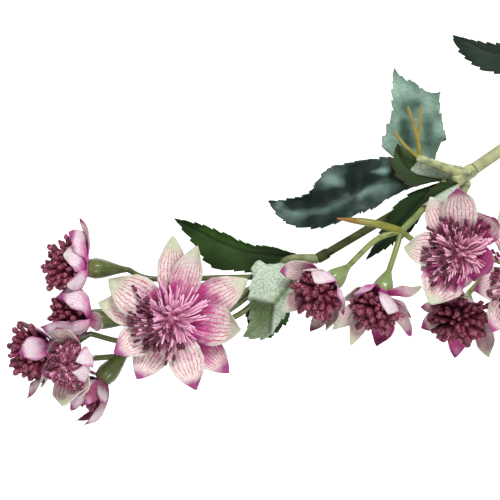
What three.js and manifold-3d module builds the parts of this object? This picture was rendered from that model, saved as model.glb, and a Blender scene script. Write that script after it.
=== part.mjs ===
// A masterwort spray lying on a table, seen from above: x runs right, y away and z up, in millimetres.
// A leafy stem carries three clusters of blooms on short stalks. Every bloom is a green cup with a pin
// on top, a ring of petals threaded on the pin, and a head of florets pushed over the pin's end.

import * as THREE from "three";
import { mergeVertices } from "three/addons/utils/BufferGeometryUtils.js";
import Module from "manifold-3d";

const wasm = await Module();
wasm.setup();

const GAP = 0.3; // left between pieces that meet
const BLADE = 0.62; // thickness of petals and leaves
const MERGE = 1e-4; // corners closer than this are one
const CENTRE = [42.1, 13.8, 0]; // middle of the spray's footprint, moved to the origin

const STEM_GREEN = { color: 0x93a66b, roughness: 0.5, metalness: 0 };
const CUP_GREEN = { color: 0x6f8f45, roughness: 0.35, metalness: 0 };
const OLIVE = { color: 0x4d5a38, roughness: 0.6, metalness: 0 };
const DARK_LEAF = { color: 0x2b4528, roughness: 0.5, metalness: 0 };
const BLUE_LEAF = { color: 0x213b36, roughness: 0.35, metalness: 0 };
const PALE_LEAF = { color: 0xa5c0ae, roughness: 0.85, metalness: 0 };
const PETAL = { color: 0xe6dcd8, roughness: 0.75, metalness: 0 };
const FLORET = { color: 0x6d2d4a, roughness: 0.5, metalness: 0 };

const rad = THREE.MathUtils.degToRad;
const vec = (p) => new THREE.Vector3(...p);
const UP = new THREE.Vector3(0, 0, 1);
const AWAY = new THREE.Vector3(0, 1, 0);

// Solids

function closed(vertProperties, corners) {
  return new wasm.Manifold(new wasm.Mesh({ numProp: 3, vertProperties, triVerts: new Uint32Array(corners) }));
}

function solid(geometry) {
  const bare = new THREE.BufferGeometry().setAttribute("position", geometry.getAttribute("position"));
  bare.setIndex(geometry.index);
  const merged = mergeVertices(bare, MERGE);
  const corners = merged.index.array;
  const kept = [];
  for (let i = 0; i < corners.length; i += 3) {
    const [a, b, c] = corners.subarray(i, i + 3);
    if (a !== b && b !== c && c !== a) kept.push(a, b, c);
  }
  const made = closed(merged.attributes.position.array, kept);
  if (made.volume() > 0) return made;
  return closed(merged.attributes.position.array, kept.reverse());
}

function fromTriangles(points, triangles) {
  return solid(new THREE.BufferGeometry().setFromPoints(points).setIndex(triangles));
}

function join(solids) {
  return solids.reduce((whole, next) => whole.add(next));
}

// The main body that a cut leaves, without crumbs.
function largest(whole) {
  return whole.decompose().reduce((a, b) => (b.volume() > a.volume() ? b : a));
}

function geometryOf(made) {
  const mesh = made.getMesh();
  const geometry = new THREE.BufferGeometry();
  geometry.setAttribute("position", new THREE.BufferAttribute(new Float32Array(mesh.vertProperties), 3));
  geometry.setIndex(new THREE.BufferAttribute(new Uint32Array(mesh.triVerts), 1));
  return geometry;
}

// A tapered rod along a smooth line, with flats facing up and down.
function rod({ line, radii, sides = 6, steps = 1 }, grow = 0) {
  const path = new THREE.CatmullRomCurve3(line.map(vec));
  const corners = [];
  for (let i = 0; i <= steps; i++) {
    const along = path.getTangentAt(i / steps);
    const guide = Math.abs(along.z) > 0.9 ? AWAY : UP;
    const across = new THREE.Vector3().crossVectors(along, guide).normalize();
    const upward = new THREE.Vector3().crossVectors(across, along);
    const radius = blend(radii.map((r) => [r]), (i / steps) * (radii.length - 1))[0] + grow;
    for (let k = 0; k < sides; k++) {
      const turn = ((k + 0.5) / sides) * 2 * Math.PI;
      const corner = path.getPointAt(i / steps).addScaledVector(upward, radius * Math.cos(turn));
      corners.push(corner.addScaledVector(across, radius * Math.sin(turn)));
    }
  }
  const triangles = [];
  for (let i = 0; i < steps; i++) {
    for (let k = 0; k < sides; k++) {
      const a = i * sides + k;
      const b = i * sides + ((k + 1) % sides);
      triangles.push(a, b, b + sides, a, b + sides, a + sides);
    }
  }
  const last = steps * sides;
  for (let k = 1; k < sides - 1; k++) triangles.push(0, k + 1, k, last, last + k, last + k + 1);
  return fromTriangles(corners, triangles);
}

// A turned shape whose profile, [radius, height] from axis to axis, stands at foot and points along axis.
function turned(profile, sides, foot, axis) {
  const geometry = new THREE.LatheGeometry(profile.map(([r, h]) => new THREE.Vector2(r, h)), sides);
  geometry.applyQuaternion(new THREE.Quaternion().setFromUnitVectors(AWAY, axis.clone().normalize()));
  geometry.translate(...foot);
  return solid(geometry);
}

// A thin blade from rows of points on its middle surface, each with its normal. The last row is one point.
function blade(rows) {
  const points = [];
  const index = rows.map((row) =>
    row.map(({ point, normal }) => {
      for (const side of [1, -1]) points.push(point.clone().addScaledVector(normal, (side * BLADE) / 2));
      return points.length - 2;
    }),
  );
  const across = rows[0].length;
  const at = (i, j) => index[i][Math.min(j, index[i].length - 1)];
  const triangles = [];
  const face = (a, b, c) => a !== b && b !== c && c !== a && triangles.push(a, b, c);
  const rim = (a, b) => triangles.push(a, b, b + 1, a, b + 1, a + 1);
  for (let i = 0; i + 1 < rows.length; i++) {
    for (let j = 0; j + 1 < across; j++) {
      const [a, b, c, d] = [at(i, j), at(i, j + 1), at(i + 1, j + 1), at(i + 1, j)];
      face(a, b, c);
      face(a, c, d);
      face(a + 1, c + 1, b + 1);
      face(a + 1, d + 1, c + 1);
    }
    rim(at(i + 1, across - 1), at(i, across - 1));
    rim(at(i, 0), at(i + 1, 0));
  }
  for (let j = 0; j + 1 < across; j++) rim(at(0, j + 1), at(0, j));
  return fromTriangles(points, triangles);
}

// Smooth blend of a table of rows at place t, counted in rows.
function blend(rows, t) {
  const k = Math.min(Math.floor(t), rows.length - 2);
  const s = t - k;
  const row = (i) => rows[Math.min(Math.max(i, 0), rows.length - 1)];
  const [a, b, c, d] = [row(k - 1), row(k), row(k + 1), row(k + 2)];
  return b.map((here, j) => {
    const slope = (c[j] - a[j]) / 2;
    const nextSlope = (d[j] - here) / 2;
    const bend = 3 * (c[j] - here) - 2 * slope - nextSlope;
    const twist = 2 * (here - c[j]) + slope + nextSlope;
    return here + slope * s + bend * s * s + twist * s ** 3;
  });
}

// An even scatter from -1 to 1 that is the same every time.
function scatter(i, channel) {
  const wave = Math.sin(12.9898 * (i + 1) + 78.233 * channel) * 43758.5453;
  return 2 * (wave - Math.floor(wave)) - 1;
}

// Blooms

const PIN_RADIUS = 0.9;
const PIN_LENGTH = 4.8;
const DISC_RADIUS = 3.4; // of the disc that the petals grow from
const DISC_TOP = 2.4;
const ROOTS = [{ radius: 2.7, height: 0.8 }, { radius: 1.7, height: 1.9 }]; // of outer and inner petals
const HEAD_FOOT = DISC_TOP + GAP;
const GOLDEN_ANGLE = Math.PI * (3 - Math.sqrt(5));
const KNOB = 2.6; // length of a floret's knob
const SHOULDER = 0.4; // share of the knob that lies beyond its widest place
const SHORTEST = 1.5; // least length of a floret, counted in knobs
const CUP_WALL = [[0, 0.95], [0.4, 2.3], [1, 3.5]]; // share of length, radius

// An open bloom lies wide open round long pink filaments. A half-open one holds a knobbly dark head.
// outline is a petal's [share of length, share of width], and cupping raises its edges. Florets fan out
// from middle, a height above the seat, up to reach sideways and height forwards, tilted widest degrees
// at most, and show from start on. core is the [radius, height] of what they grow from.
const OPEN = {
  outline: [[0, 0.3], [0.36, 0.9], [0.72, 0.83], [1, 0]],
  cupping: 0.14,
  florets: 20,
  reach: 13.5,
  height: 9,
  middle: 3.8,
  widest: 76,
  thin: 0.45,
  thick: 0.95,
  start: 1.6,
  core: [[0, HEAD_FOOT], [1.8, HEAD_FOOT], [3, 4], [1.4, 5.4], [0, 5.8]],
};
const HALF_OPEN = {
  outline: [[0, 0.45], [0.3, 0.88], [0.56, 1], [0.8, 0.66], [1, 0]],
  cupping: 0.2,
  florets: 17,
  reach: 9.2,
  height: 9,
  middle: 5.6,
  widest: 98,
  thick: 1.6,
  start: 3.2,
  core: [[0, HEAD_FOOT], [2, HEAD_FOOT], [5.2, 4.4], [6, 7.4], [4.4, 10.8], [0, 12.4]],
};

// seat is where the cup ends, faces where the bloom looks, cup the cup's length, and size scales the head.
// Petals are [azimuth, length, width, lift, curl, twist, layer], angles in degrees. Azimuth 90 is up the
// page, and 0 is right or nearest the eye.
const BLOOMS = {
  large_left: {
    kind: OPEN, seat: [-26.2, -23.2, 34], faces: [-0.03, 0.02, 1], cup: 12,
    petals: [
      [89, 25.5, 10.5, 5, 13, 4, 0], [70, 25.5, 10.5, 11, 14, -4, 1], [27, 26.5, 12.5, 4, 11, 4, 0],
      [-8, 24.5, 14, 13, 15, 2, 1], [-43, 24.5, 11, 4, 13, -9, 0], [-70, 24.5, 12, 9, 11, 4, 1],
      [-120, 21, 12, 3, 12, 1, 0], [-149, 21.5, 12, 9, 13, 5, 1], [168, 23, 11.5, 2, 12, 1, 0],
      [147.5, 24, 14.5, 8, 15, -5, 1],
    ],
  },
  upper_left: {
    kind: HALF_OPEN, seat: [-54.6, -6.2, 20.5], faces: [-1, 0.04, 0.1], cup: 13,
    petals: [
      [77, 17, 6, -20, 55, 26, 1], [66, 13.5, 10, 2, 64, -42, 0], [34, 11.5, 11, 0, 103, 0, 1],
      [-42, 10.5, 8, 9, 78, 6, 0], [-98, 10.5, 7.5, 6, 107, 5, 1], [-135, 13, 8, 4, 90, 0, 0],
      [172, 14, 8.5, 4, 90, 0, 1],
    ],
  },
  middle_left: {
    kind: HALF_OPEN, seat: [-53.7, -23.4, 18.5], faces: [-0.98, 0.1, 0.06], cup: 13, size: 0.92,
    petals: [
      [49, 17, 11, -20, 160, -10, 1], [-42, 19, 8.5, 34, 84, 2, 0], [-6, 13, 6.5, -38, 24, 8, 1],
      [-168, 13, 8, 8, 80, 0, 1], [-118, 10, 7, 20, 80, 0, 0], [136, 13, 8, 10, 80, 0, 0],
    ],
  },
  outer_left: {
    kind: HALF_OPEN, seat: [-67, -33, 12.6], faces: [-0.88, -0.3, -0.1], cup: 13, size: 1.08,
    petals: [
      [12, 13, 8.5, 7, 109, 0, 1], [101, 14, 5, 29, 33, 22, 0], [-61, 18.5, 9.5, 25, 44, -62, 0],
      [-104, 14, 8, 8, 60, 0, 1], [-155, 13, 8, 10, 70, 0, 0], [142, 13, 8, 10, 70, 0, 1],
    ],
  },
  inner_left: {
    kind: HALF_OPEN, seat: [-58.5, -38.4, 26], faces: [-0.4, -0.1, 0.88], cup: 12, size: 0.8,
    petals: [
      [-96, 14.5, 12.5, 21, 51, 8, 0], [-16, 15, 7.5, -5, 160, 0, 1], [22, 15, 7.5, -5, 160, 0, 0],
      [92, 17.5, 9, 8, 62, -10, 1], [130, 12, 8, 14, 70, 0, 0], [-164, 11, 8, 16, 60, 0, 1],
      [-64, 12, 8, 6, 44, 0, 1],
    ],
  },
  lower_left: {
    kind: HALF_OPEN, seat: [-50.4, -43.9, 12], faces: [-0.66, -0.72, -0.05], cup: 13, size: 0.56,
    petals: [
      [-27, 13, 5, -6, 49, 11, 1], [-11, 13.5, 5, 18, 60, 21, 0], [12, 16.5, 5.5, 30, 106, 22, 1],
      [-63, 18, 5.5, 31, 82, -3, 0], [-112, 18, 6.5, 32, 103, -1, 1], [100, 13, 8, 14, 60, 0, 0],
      [165, 13, 8, 10, 70, 0, 1],
    ],
  },
  small_centre: {
    kind: HALF_OPEN, seat: [27.8, -10.7, 29], faces: [-0.6, -0.55, 0.55], cup: 10, size: 0.86,
    petals: [
      [136, 16.5, 9, 5, 58, 30, 0], [100, 11, 8.5, -10, 95, 0, 1], [58, 12.5, 9.5, 10, 100, 0, 0],
      [-9, 15, 6.5, 10, 63, 5, 1], [-60, 10, 6, 4, 67, 2, 0], [-82, 16, 7.5, 18, 55, 4, 1],
      [-111, 17.5, 7, 26, 60, 13, 0], [-176, 19.5, 7.5, 18, 90, 1, 1],
    ],
  },
  small_right: {
    kind: HALF_OPEN, seat: [44.8, -13.9, 27], faces: [-0.3, -0.8, 0.5], cup: 9, size: 0.86,
    petals: [
      [-166, 19.5, 7.5, 24, 40, -1, 0], [153, 12.5, 8, -7, 74, 6, 1], [109, 11.5, 9.5, 1, 104, 9, 0],
      [26, 13.5, 9, 18, 73, 6, 1], [2, 12.5, 6, -12, 10, -1, 0], [-40, 11.5, 7, -5, 47, -5, 1],
      [-60, 16, 7.5, 15, 27, -1, 0], [-92, 19, 8.5, 20, 84, 3, 1], [-147, 21, 7, 20, 102, 1, 0],
    ],
  },
  large_right: {
    kind: OPEN, seat: [70.7, -0.7, 35], faces: [-0.1, -0.1, 1], cup: 10, size: 0.92,
    petals: [
      [90, 25, 12, 12, 30, -1, 1], [117, 20, 11, 6, 24, 0, 0], [48, 19, 12.5, 8, 49, 4, 0],
      [-27, 15.5, 12, 14, 71, -7, 1], [-87, 10.5, 8.5, 7, 21, 1, 0], [-121, 18.5, 15, 11, 20, 2, 1],
      [-157, 12, 9, 5, 20, 0, 0], [172, 19, 11.5, 9, 27, 2, 1],
    ],
  },
  lower_right: {
    kind: HALF_OPEN, seat: [73.5, -19.5, 11], faces: [-0.25, -0.45, 0.85], cup: 10,
    petals: [
      [173, 12, 5.5, 6, 20, -1, 0], [151, 12, 5.5, 6, 60, 1, 1], [-164, 14.5, 8, 10, 36, 1, 1],
      [112, 11, 8.5, 4, 84, 0, 0], [64, 9, 8, 9, 71, 0, 1], [-16, 13.5, 7, 5, 58, 2, 1],
      [-48, 20.5, 7.5, 9, 73, -6, 0], [-102, 16.5, 7, 6, 10, 0, 1], [-128, 12, 8, 6, 40, 0, 0],
    ],
  },
  far_right: {
    kind: OPEN, seat: [92.5, -8.5, 25], faces: [0.1, -0.2, 0.95], cup: 11, size: 0.92,
    petals: [
      [111, 23, 10.5, 4, 18, -3, 0], [-170, 18, 11.5, 12, 28, -4, 1], [-120, 19.5, 11, 3, 21, 1, 0],
      [-84, 22.5, 12, 11, 16, 0, 1], [-42, 21, 12, 5, 16, 0, 0], [-4, 21, 12, 11, 16, 0, 1],
      [36, 21, 12, 5, 16, 0, 0], [76, 22, 12, 11, 16, 0, 1],
    ],
  },
};

function frameOf({ faces }) {
  const axis = vec(faces).normalize();
  const up = AWAY.clone().addScaledVector(axis, -AWAY.dot(axis)).normalize();
  return { axis, up, right: new THREE.Vector3().crossVectors(up, axis) };
}

// A point on a petal's middle surface, u from root to tip and v from -1 to 1 across.
function petalPoint(bloom, petal, u, share, v) {
  const { axis, up, right } = frameOf(bloom);
  const [azimuth, length, width, lift, curl, twist, layer] = petal;
  const heading = rad(azimuth);
  const out = right.clone().multiplyScalar(Math.cos(heading)).addScaledVector(up, Math.sin(heading));
  const start = rad(lift);
  const end = start + rad(curl) * u;
  const arc = length / rad(curl);
  const across = new THREE.Vector3().crossVectors(axis, out);
  const inward = axis.clone().multiplyScalar(Math.cos(end)).addScaledVector(out, -Math.sin(end));
  const turn = rad(twist) * u;
  const side = across.clone().multiplyScalar(Math.cos(turn)).addScaledVector(inward, Math.sin(turn));
  const face = inward.clone().multiplyScalar(Math.cos(turn)).addScaledVector(across, -Math.sin(turn));
  const half = (width / 2) * share;
  const point = vec(bloom.seat)
    .addScaledVector(out, ROOTS[layer].radius + arc * (Math.sin(end) - Math.sin(start)))
    .addScaledVector(axis, ROOTS[layer].height - arc * (Math.cos(end) - Math.cos(start)))
    .addScaledVector(side, v * half)
    .addScaledVector(face, bloom.kind.cupping * half * v * v);
  point.z = Math.max(point.z, BLADE / 2);
  const normal = face.addScaledVector(side, -2 * bloom.kind.cupping * v).normalize();
  return { point, normal };
}

function petalRows(bloom, petal) {
  return bloom.kind.outline.map(([u, share]) => {
    const across = share ? [-1, 0, 1] : [0];
    return across.map((v) => petalPoint(bloom, petal, u, share, v));
  });
}

function bore(bloom) {
  const radius = PIN_RADIUS + GAP;
  const [bottom, top] = [-2 * GAP, PIN_LENGTH + GAP];
  const profile = [[0, bottom], [radius, bottom], [radius, top], [0, top]];
  return turned(profile, 6, bloom.seat, frameOf(bloom).axis);
}

function petalRing(bloom) {
  const profile = [[0, GAP], [DISC_RADIUS, GAP], [DISC_RADIUS, DISC_TOP], [0, DISC_TOP]];
  const disc = turned(profile, 6, bloom.seat, frameOf(bloom).axis);
  const petals = bloom.petals.map((petal) => blade(petalRows(bloom, petal)));
  return join([disc, ...petals]).subtract(bore(bloom));
}

// Points spread over the petals, which the florets keep clear of. A petal stays wide almost to its tip.
function petalSamples(bloom) {
  const lengthwise = [0.15, 0.3, 0.45, 0.6, 0.75, 0.9, 1];
  const places = lengthwise.flatMap((u) => [-1, -0.5, 0, 0.5, 1].map((v) => [u, v]));
  const share = (u) => Math.min(1, 2.4 * (1 - u) + 0.1);
  const sample = (petal) => places.map(([u, v]) => petalPoint(bloom, petal, u, share(u), v).point);
  return bloom.petals.flatMap(sample);
}

// A floret grows from the middle of the head to a knob, and stops short of the petals.
function floret({ kind, size = 1 }, foot, toward, samples) {
  const axis = toward.clone().normalize();
  const knob = KNOB * size;
  const thick = kind.thick * size;
  const room = thick + BLADE / 2 + 2 * GAP + knob / 4;
  const crowded = (length) => {
    const end = foot.clone().addScaledVector(axis, length - knob / 2);
    return samples.some((point) => point.distanceTo(end) < room);
  };
  let length = toward.length();
  while (length > knob * SHORTEST && crowded(length)) length -= GAP;
  const start = Math.min(kind.start * size, length / 2);
  const neck = kind.thin ? [[kind.thin, length - knob]] : [];
  const profile = [[0, start], ...neck, [thick, length - knob * SHOULDER], [0, length]];
  return turned(profile, 3, foot.toArray(), axis);
}

function floretHead(bloom) {
  const { axis, up, right } = frameOf(bloom);
  const { kind, size = 1 } = bloom;
  const foot = vec(bloom.seat).addScaledVector(axis, kind.middle);
  const samples = petalSamples(bloom);
  const florets = Array.from({ length: kind.florets }, (_, i) => {
    const tilt = Math.acos(1 - ((1 - Math.cos(rad(kind.widest))) * (i + 0.4)) / kind.florets);
    const around = i * GOLDEN_ANGLE;
    const swell = size * (1 + 0.07 * scatter(i, 1));
    const toward = axis.clone().multiplyScalar(kind.height * swell * Math.cos(tilt));
    toward.addScaledVector(right, kind.reach * swell * Math.sin(tilt) * Math.cos(around));
    toward.addScaledVector(up, kind.reach * swell * Math.sin(tilt) * Math.sin(around));
    return floret(bloom, foot, toward, samples);
  });
  const core = kind.core.map(([radius, height]) => [radius * size, HEAD_FOOT + (height - HEAD_FOOT) * size]);
  return join([turned(core, 6, bloom.seat, axis), ...florets]).subtract(bore(bloom));
}

function cupFoot(bloom) {
  return vec(bloom.seat).addScaledVector(frameOf(bloom).axis, -bloom.cup);
}

// The green cup behind a bloom, with the pin that holds its petals and florets.
function cup(bloom) {
  const wall = CUP_WALL.map(([share, radius]) => [radius, share * bloom.cup]);
  const pinEnd = bloom.cup + PIN_LENGTH;
  const profile = [[0, 0], ...wall, [PIN_RADIUS, bloom.cup], [PIN_RADIUS, pinEnd], [0, pinEnd]];
  return turned(profile, 6, cupFoot(bloom).toArray(), frameOf(bloom).axis);
}

// Stems

const MAIN_RADIUS = 2.05;
const MAIN_FLAT = MAIN_RADIUS * Math.cos(Math.PI / 8); // height of the axis where the stem lies on the table
const SIDE_RADIUS = 1.35;
const STALK_RADIUS = 0.95;

const MAIN_LINE = [
  [165, 87, MAIN_FLAT], [152, 78.4, MAIN_FLAT], [136, 67.8, 2.3],
  [119, 56.4, 5.2], [95, 40.2, 12.3], [76.2, 27.5, 19.3],
];
const SIDE_LINE = [[72, 24.5, 19.5], [58, 16.5, 14.6], [48.6, 11.9, 14.6], [23.8, -2.6, 16.9]];
const MAIN_STEM = [
  { line: MAIN_LINE, radii: [MAIN_RADIUS, MAIN_RADIUS], sides: 8, steps: 12 },
  { line: [[122.5, 58.7, 4.8], [117, 55, 6]], radii: [2.8, 2.8], sides: 8 },
];
const PLUG = { line: [[77.4, 28.3, 18.9], [72.8, 25.3, 20.6]], radii: [1.2, 1.2] };
// The collar round the main stem's end, a branch that runs down to the left, and three bare pegs.
const JOINT = [
  { line: [[75.9, 27.3, 19.4], [70, 23.6, 21.6]], radii: [2.45, 2.6], sides: 8 },
  { line: [[74, 26, 20.4], [67.5, 27.6, 23.4], [57.1, 31.3, 26.6]], radii: [2.3, 1.2], steps: 4 },
  { line: [[57.8, 30.9, 26.4], [56.6, 39, 26], [53.7, 48.6, 24.6]], radii: [0.85, 0.52], sides: 5, steps: 3 },
  { line: [[57, 36, 26.2], [57.6, 42, 25.6], [58.1, 48.6, 24.2]], radii: [0.62, 0.48], sides: 5, steps: 3 },
  { line: [[57.6, 31.2, 26.4], [53, 35, 26.4], [49, 40.1, 25]], radii: [0.72, 0.5], sides: 5, steps: 3 },
];
const SIDE_STEM = [
  { line: SIDE_LINE, radii: [SIDE_RADIUS, SIDE_RADIUS], steps: 8 },
  { line: [[26.4, -1.1, 16.7], [23.4, -2.8, 16.9]], radii: [1.8, 1.8] },
];

// A cluster's stalks fan out from its hub, and each passes by the points given on its way to a bloom's cup.
// rods are the hub's own branch and a stalk that has lost its bloom.
const UMBELS = {
  left_umbel: {
    hub: [7.5, -9.2, 17.5],
    rods: [{ line: [[23, -3, 17], [14.5, -3.2, 17], [10.5, -5, 15.5], [7.5, -9.2, 17]], radii: [1.65, 1.3], steps: 4 }],
    stalks: {
      upper_left: [[-8, -9.4, 18], [-33, -9.9, 17.5]],
      large_left: [[-2, -14.5, 19.5], [-17, -22, 19]],
      middle_left: [[-14, -19.5, 17.5]],
      inner_left: [[-14, -25, 14], [-38, -35, 10]],
      outer_left: [[-14, -25, 12.5], [-38, -32, 8]],
      lower_left: [[-5, -22.8, 15.5]],
    },
  },
  right_umbel: {
    hub: [51.5, 6.5, 24],
    rods: [
      { line: [[66.5, 23.5, 20.4], [59.5, 14.6, 22.3], [51.5, 6.5, 24]], radii: [1.1, 1.1], steps: 4 },
      { line: [[51.5, 6.5, 24], [42, 9, 26.5], [29.6, 10.7, 27]], radii: [1.2, 1.3, 1.15, 0.3], steps: 6 },
    ],
    stalks: { small_centre: [[43, 3.6, 25.5]], small_right: [[50, 1, 23]], large_right: [[58, 2.4, 22.5]] },
  },
  lower_umbel: {
    hub: [84, -3, 3.5],
    rods: [
      { line: [[74.2, 23, 19.5], [72.4, 17, 16], [76, 6, 8], [84, -3, 3.5]], radii: [1.6, 1.2], steps: 6 },
    ],
    stalks: { lower_right: [[80.5, -10, 1]], far_right: [[89, -5, 7]] },
  },
};

function rods(list, grow = 0) {
  return join(list.map((one) => rod(one, grow)));
}

function umbelRods({ hub, rods: own, stalks }) {
  const branches = Object.entries(stalks).map(([name, via]) => {
    const foot = cupFoot(BLOOMS[name]).addScaledVector(frameOf(BLOOMS[name]).axis, STALK_RADIUS);
    return { line: [hub, ...via, foot.toArray()], radii: [STALK_RADIUS, STALK_RADIUS], sides: 5, steps: 4 };
  });
  return [...own, ...branches];
}

function umbel(cluster) {
  return join([rods(umbelRods(cluster)), ...Object.keys(cluster.stalks).map((name) => cup(BLOOMS[name]))]);
}

// Leaves

const ROW_STEP = 2.7; // between a leaf's rows, every other one of which ends in teeth
const FINE = 40; // steps a station in which a leaf's length is measured
const STEP = 0.05; // small step for slopes
const FOLD_WIDTH = 1.1; // over which a folded part sinks
const NOTCH = 1; // depth of the cuts in a leaf's edge
const LEAN = 0.9; // how far its teeth point forward

// Stations along the midrib from root to tip: [x, y, z, width left, width right, rise of left edge, rise of
// right edge], with left and right as seen when looking along the leaf from above. below is the part that is
// folded down: its depth, and the lines that the fold follows, with the low part on their right.
const LEAVES = {
  blue_leaf: {
    finish: BLUE_LEAF,
    stations: [
      [69, 24.6, 18, 0.7, 0.7, 0, 0], [61.9, 23.8, 15.4, 0.8, 0.8, 0, 0],
      [51, 23.5, 16.2, 4.4, 8.2, 0, 0.6], [41.5, 22.1, 16.8, 7.8, 9.5, 1, 2],
      [32.3, 17.7, 17.5, 7.1, 12, 2, 4], [22.1, 13.9, 15.5, 6.8, 6.5, 2, 2.5],
      [13.6, 13.9, 13.5, 4.8, 4.1, 1, 1], [6.1, 17, 12, 0, 0, 0, 0],
    ],
  },
  pale_leaf: {
    finish: PALE_LEAF,
    stations: [
      [62.5, 28.6, 20, 0.7, 0.7, 0, 0], [58.9, 33.3, 12, 8, 9.4, 0, 1], [57.2, 38.6, 9.5, 12.1, 10.4, 0, 1],
      [55.4, 44.3, 6.8, 8.9, 11.6, 0, 0.6], [53.8, 49.1, 4.2, 4.6, 13.2, 0, 0],
      [53.2, 51, 3.2, 4.2, 13.6, 0, 0], [52.8, 52.6, 2, 3.6, 8.6, 0, 0], [52, 55.2, 0.4, 2.8, 7.4, 0, 0],
      [51.4, 57.7, -1, 2, 4.6, 0, 0], [50.7, 60.6, -1, 1.2, 1.8, 0, 0], [50.1, 63.6, -1, 0, 0, 0, 0],
    ],
  },
  small_dark_leaf: {
    finish: DARK_LEAF,
    stations: [
      [71.2, 23.3, 21.5, 0.5, 0.8, 0, 0], [67, 24, 21, 0.9, 2.6, 0, 1], [62.9, 24.6, 21, 1.6, 4.2, 0, 1],
      [59.4, 25.3, 21.6, 3.2, 4.4, 0.5, 1], [56.1, 26.2, 22.5, 5, 3.8, 1, 0.5],
      [52.4, 29.6, 22.5, 4.8, 5.4, 1, 0.5], [51, 33.3, 21.5, 2, 2.4, 0, 0], [50.3, 36.4, 20.5, 0, 0, 0, 0],
    ],
  },
  lower_dark_leaf: {
    finish: DARK_LEAF,
    stations: [
      [63.9, 22.4, 18, 0.6, 0.6, 0, 0], [57.8, 16.3, 18.6, 3.4, 4.8, 0, 1], [52, 9.9, 18.8, 4.8, 5.4, 0, 1],
      [46.2, 3.4, 17.4, 3, 3, 0, 0.5], [39.8, -3.4, 14.5, 0, 0, 0, 0],
    ],
  },
  folded_leaf: {
    finish: DARK_LEAF,
    stations: [
      [71.4, 22.8, 23.5, 0.5, 0.5, 0, 0], [66.3, 20.4, 25, 4.1, 3.4, 1.5, 0.5],
      [61.9, 17.7, 25.5, 2.7, 2.7, 1, 0.5], [58.5, 15.3, 24.5, 0, 0, 0, 0],
    ],
  },
  long_green_leaf: {
    finish: DARK_LEAF,
    stations: [
      [18.7, -2.7, 15.5, 0.6, 0.6, 0, 0], [8.5, -2, 17, 5.8, 3.1, -1, 1],
      [-0.7, -0.7, 18, 7.4, 3.1, -1, 1.5], [-9.5, 2.4, 17.5, 9.2, 3.7, -1, 1.5],
      [-17.7, 6.5, 15.5, 4.6, 2.7, 0, 1], [-26.2, 10.9, 12, 0, 0, 0, 0],
    ],
  },
  pale_folded_leaf: {
    finish: PALE_LEAF,
    below: { depth: 3.2, lines: [[[1, -16.2], [8.5, -18.1]], [[8.5, -18.1], [7.5, -27.3]]] },
    stations: [
      [17.4, -4.6, 20, 0.6, 0.8, 0, 0], [15.9, -7.8, 21.8, 1, 8.5, 0, -1],
      [14.4, -10.8, 23.2, 1.2, 13.6, 0, -1], [11.6, -14.3, 24.3, 3.3, 14, 0, -1],
      [8.5, -18, 23.6, 5.3, 10.5, -0.5, -0.5], [6.1, -21.8, 21.8, 5.4, 7.8, -0.5, 0],
      [2, -26.2, 18.5, 5.6, 3.2, 0, 0], [-2.4, -29.9, 15, 0, 0, 0, 0],
    ],
  },
  hidden_leaf: {
    finish: DARK_LEAF,
    stations: [
      [17.7, -4.1, 14.8, 0.6, 0.6, 0, 0], [12.9, -10.9, 13.5, 4.1, 5.4, 0, 0],
      [8.5, -18, 11.5, 6.5, 7.5, 0, 0], [6.5, -24.5, 9.5, 6.5, 8.2, 0, 0], [7.1, -30.6, 7, 0, 0, 0, 0],
    ],
  },
  stem_leaf: {
    finish: DARK_LEAF,
    stations: [
      [118, 57.5, 7, 0.7, 0.7, 0, 0], [108.8, 60.5, 10, 4.8, 4.8, 1, 1], [95.2, 65.6, 13, 6.5, 6.1, 1, 2],
      [83.3, 67.9, 14, 7.1, 3.4, -1, 1], [74.8, 71.5, 13, 4.8, 1.4, -1, 0], [69.7, 74.2, 11.5, 0, 0, 0, 0],
    ],
  },
};

// Places in a leaf's stations, even steps apart along it.
function leafPlaces(stations) {
  const marks = Array.from({ length: FINE * (stations.length - 1) + 1 }, (_, i) => i / FINE);
  const points = marks.map((mark) => new THREE.Vector2(...blend(stations, mark)));
  const lengths = [0];
  for (let k = 1; k < points.length; k++) lengths.push(lengths[k - 1] + points[k].distanceTo(points[k - 1]));
  const count = 2 * Math.round(lengths.at(-1) / ROW_STEP / 2);
  return Array.from({ length: count + 1 }, (_, i) => {
    const goal = (lengths.at(-1) * i) / count;
    return marks[Math.min(lengths.filter((length) => length < goal).length, marks.length - 1)];
  });
}

// 1 well on the right of all the lines, 0 on the left of any of them.
function shareBelow(lines, x, y) {
  return lines.reduce((share, [[ax, ay], [bx, by]]) => {
    const distance = ((x - ax) * (by - ay) - (y - ay) * (bx - ax)) / Math.hypot(bx - ax, by - ay);
    return share * THREE.MathUtils.smoothstep(distance, 0, FOLD_WIDTH);
  }, 1);
}

// A point of a leaf at place t in its stations, v from -1 at the right edge to 1 at the left, tooth from -1 in
// a notch of the edge to 1 on a tooth.
function leafPoint({ stations, below }, t, v, tooth) {
  const [x, y, z, left, right, leftRise, rightRise] = blend(stations, t);
  const ahead = blend(stations, Math.min(t + STEP, stations.length - 1));
  const behind = blend(stations, Math.max(t - STEP, 0));
  const along = new THREE.Vector3(ahead[0] - behind[0], ahead[1] - behind[1], 0).normalize();
  const side = new THREE.Vector3(-along.y, along.x, 0);
  const full = Math.max(v > 0 ? left : right, 0);
  const width = full - (Math.min(NOTCH, full / 4) * (1 - tooth)) / 2;
  const rise = (v > 0 ? leftRise : rightRise) * v * v;
  const point = new THREE.Vector3(x, y, 0).addScaledVector(side, width * v);
  const sunk = below ? below.depth * shareBelow(below.lines, point.x, point.y) : 0;
  point.z = Math.max(z + rise - sunk, BLADE / 2);
  return point.addScaledVector(along, LEAN * tooth * Math.min(1, width / 3));
}

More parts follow.
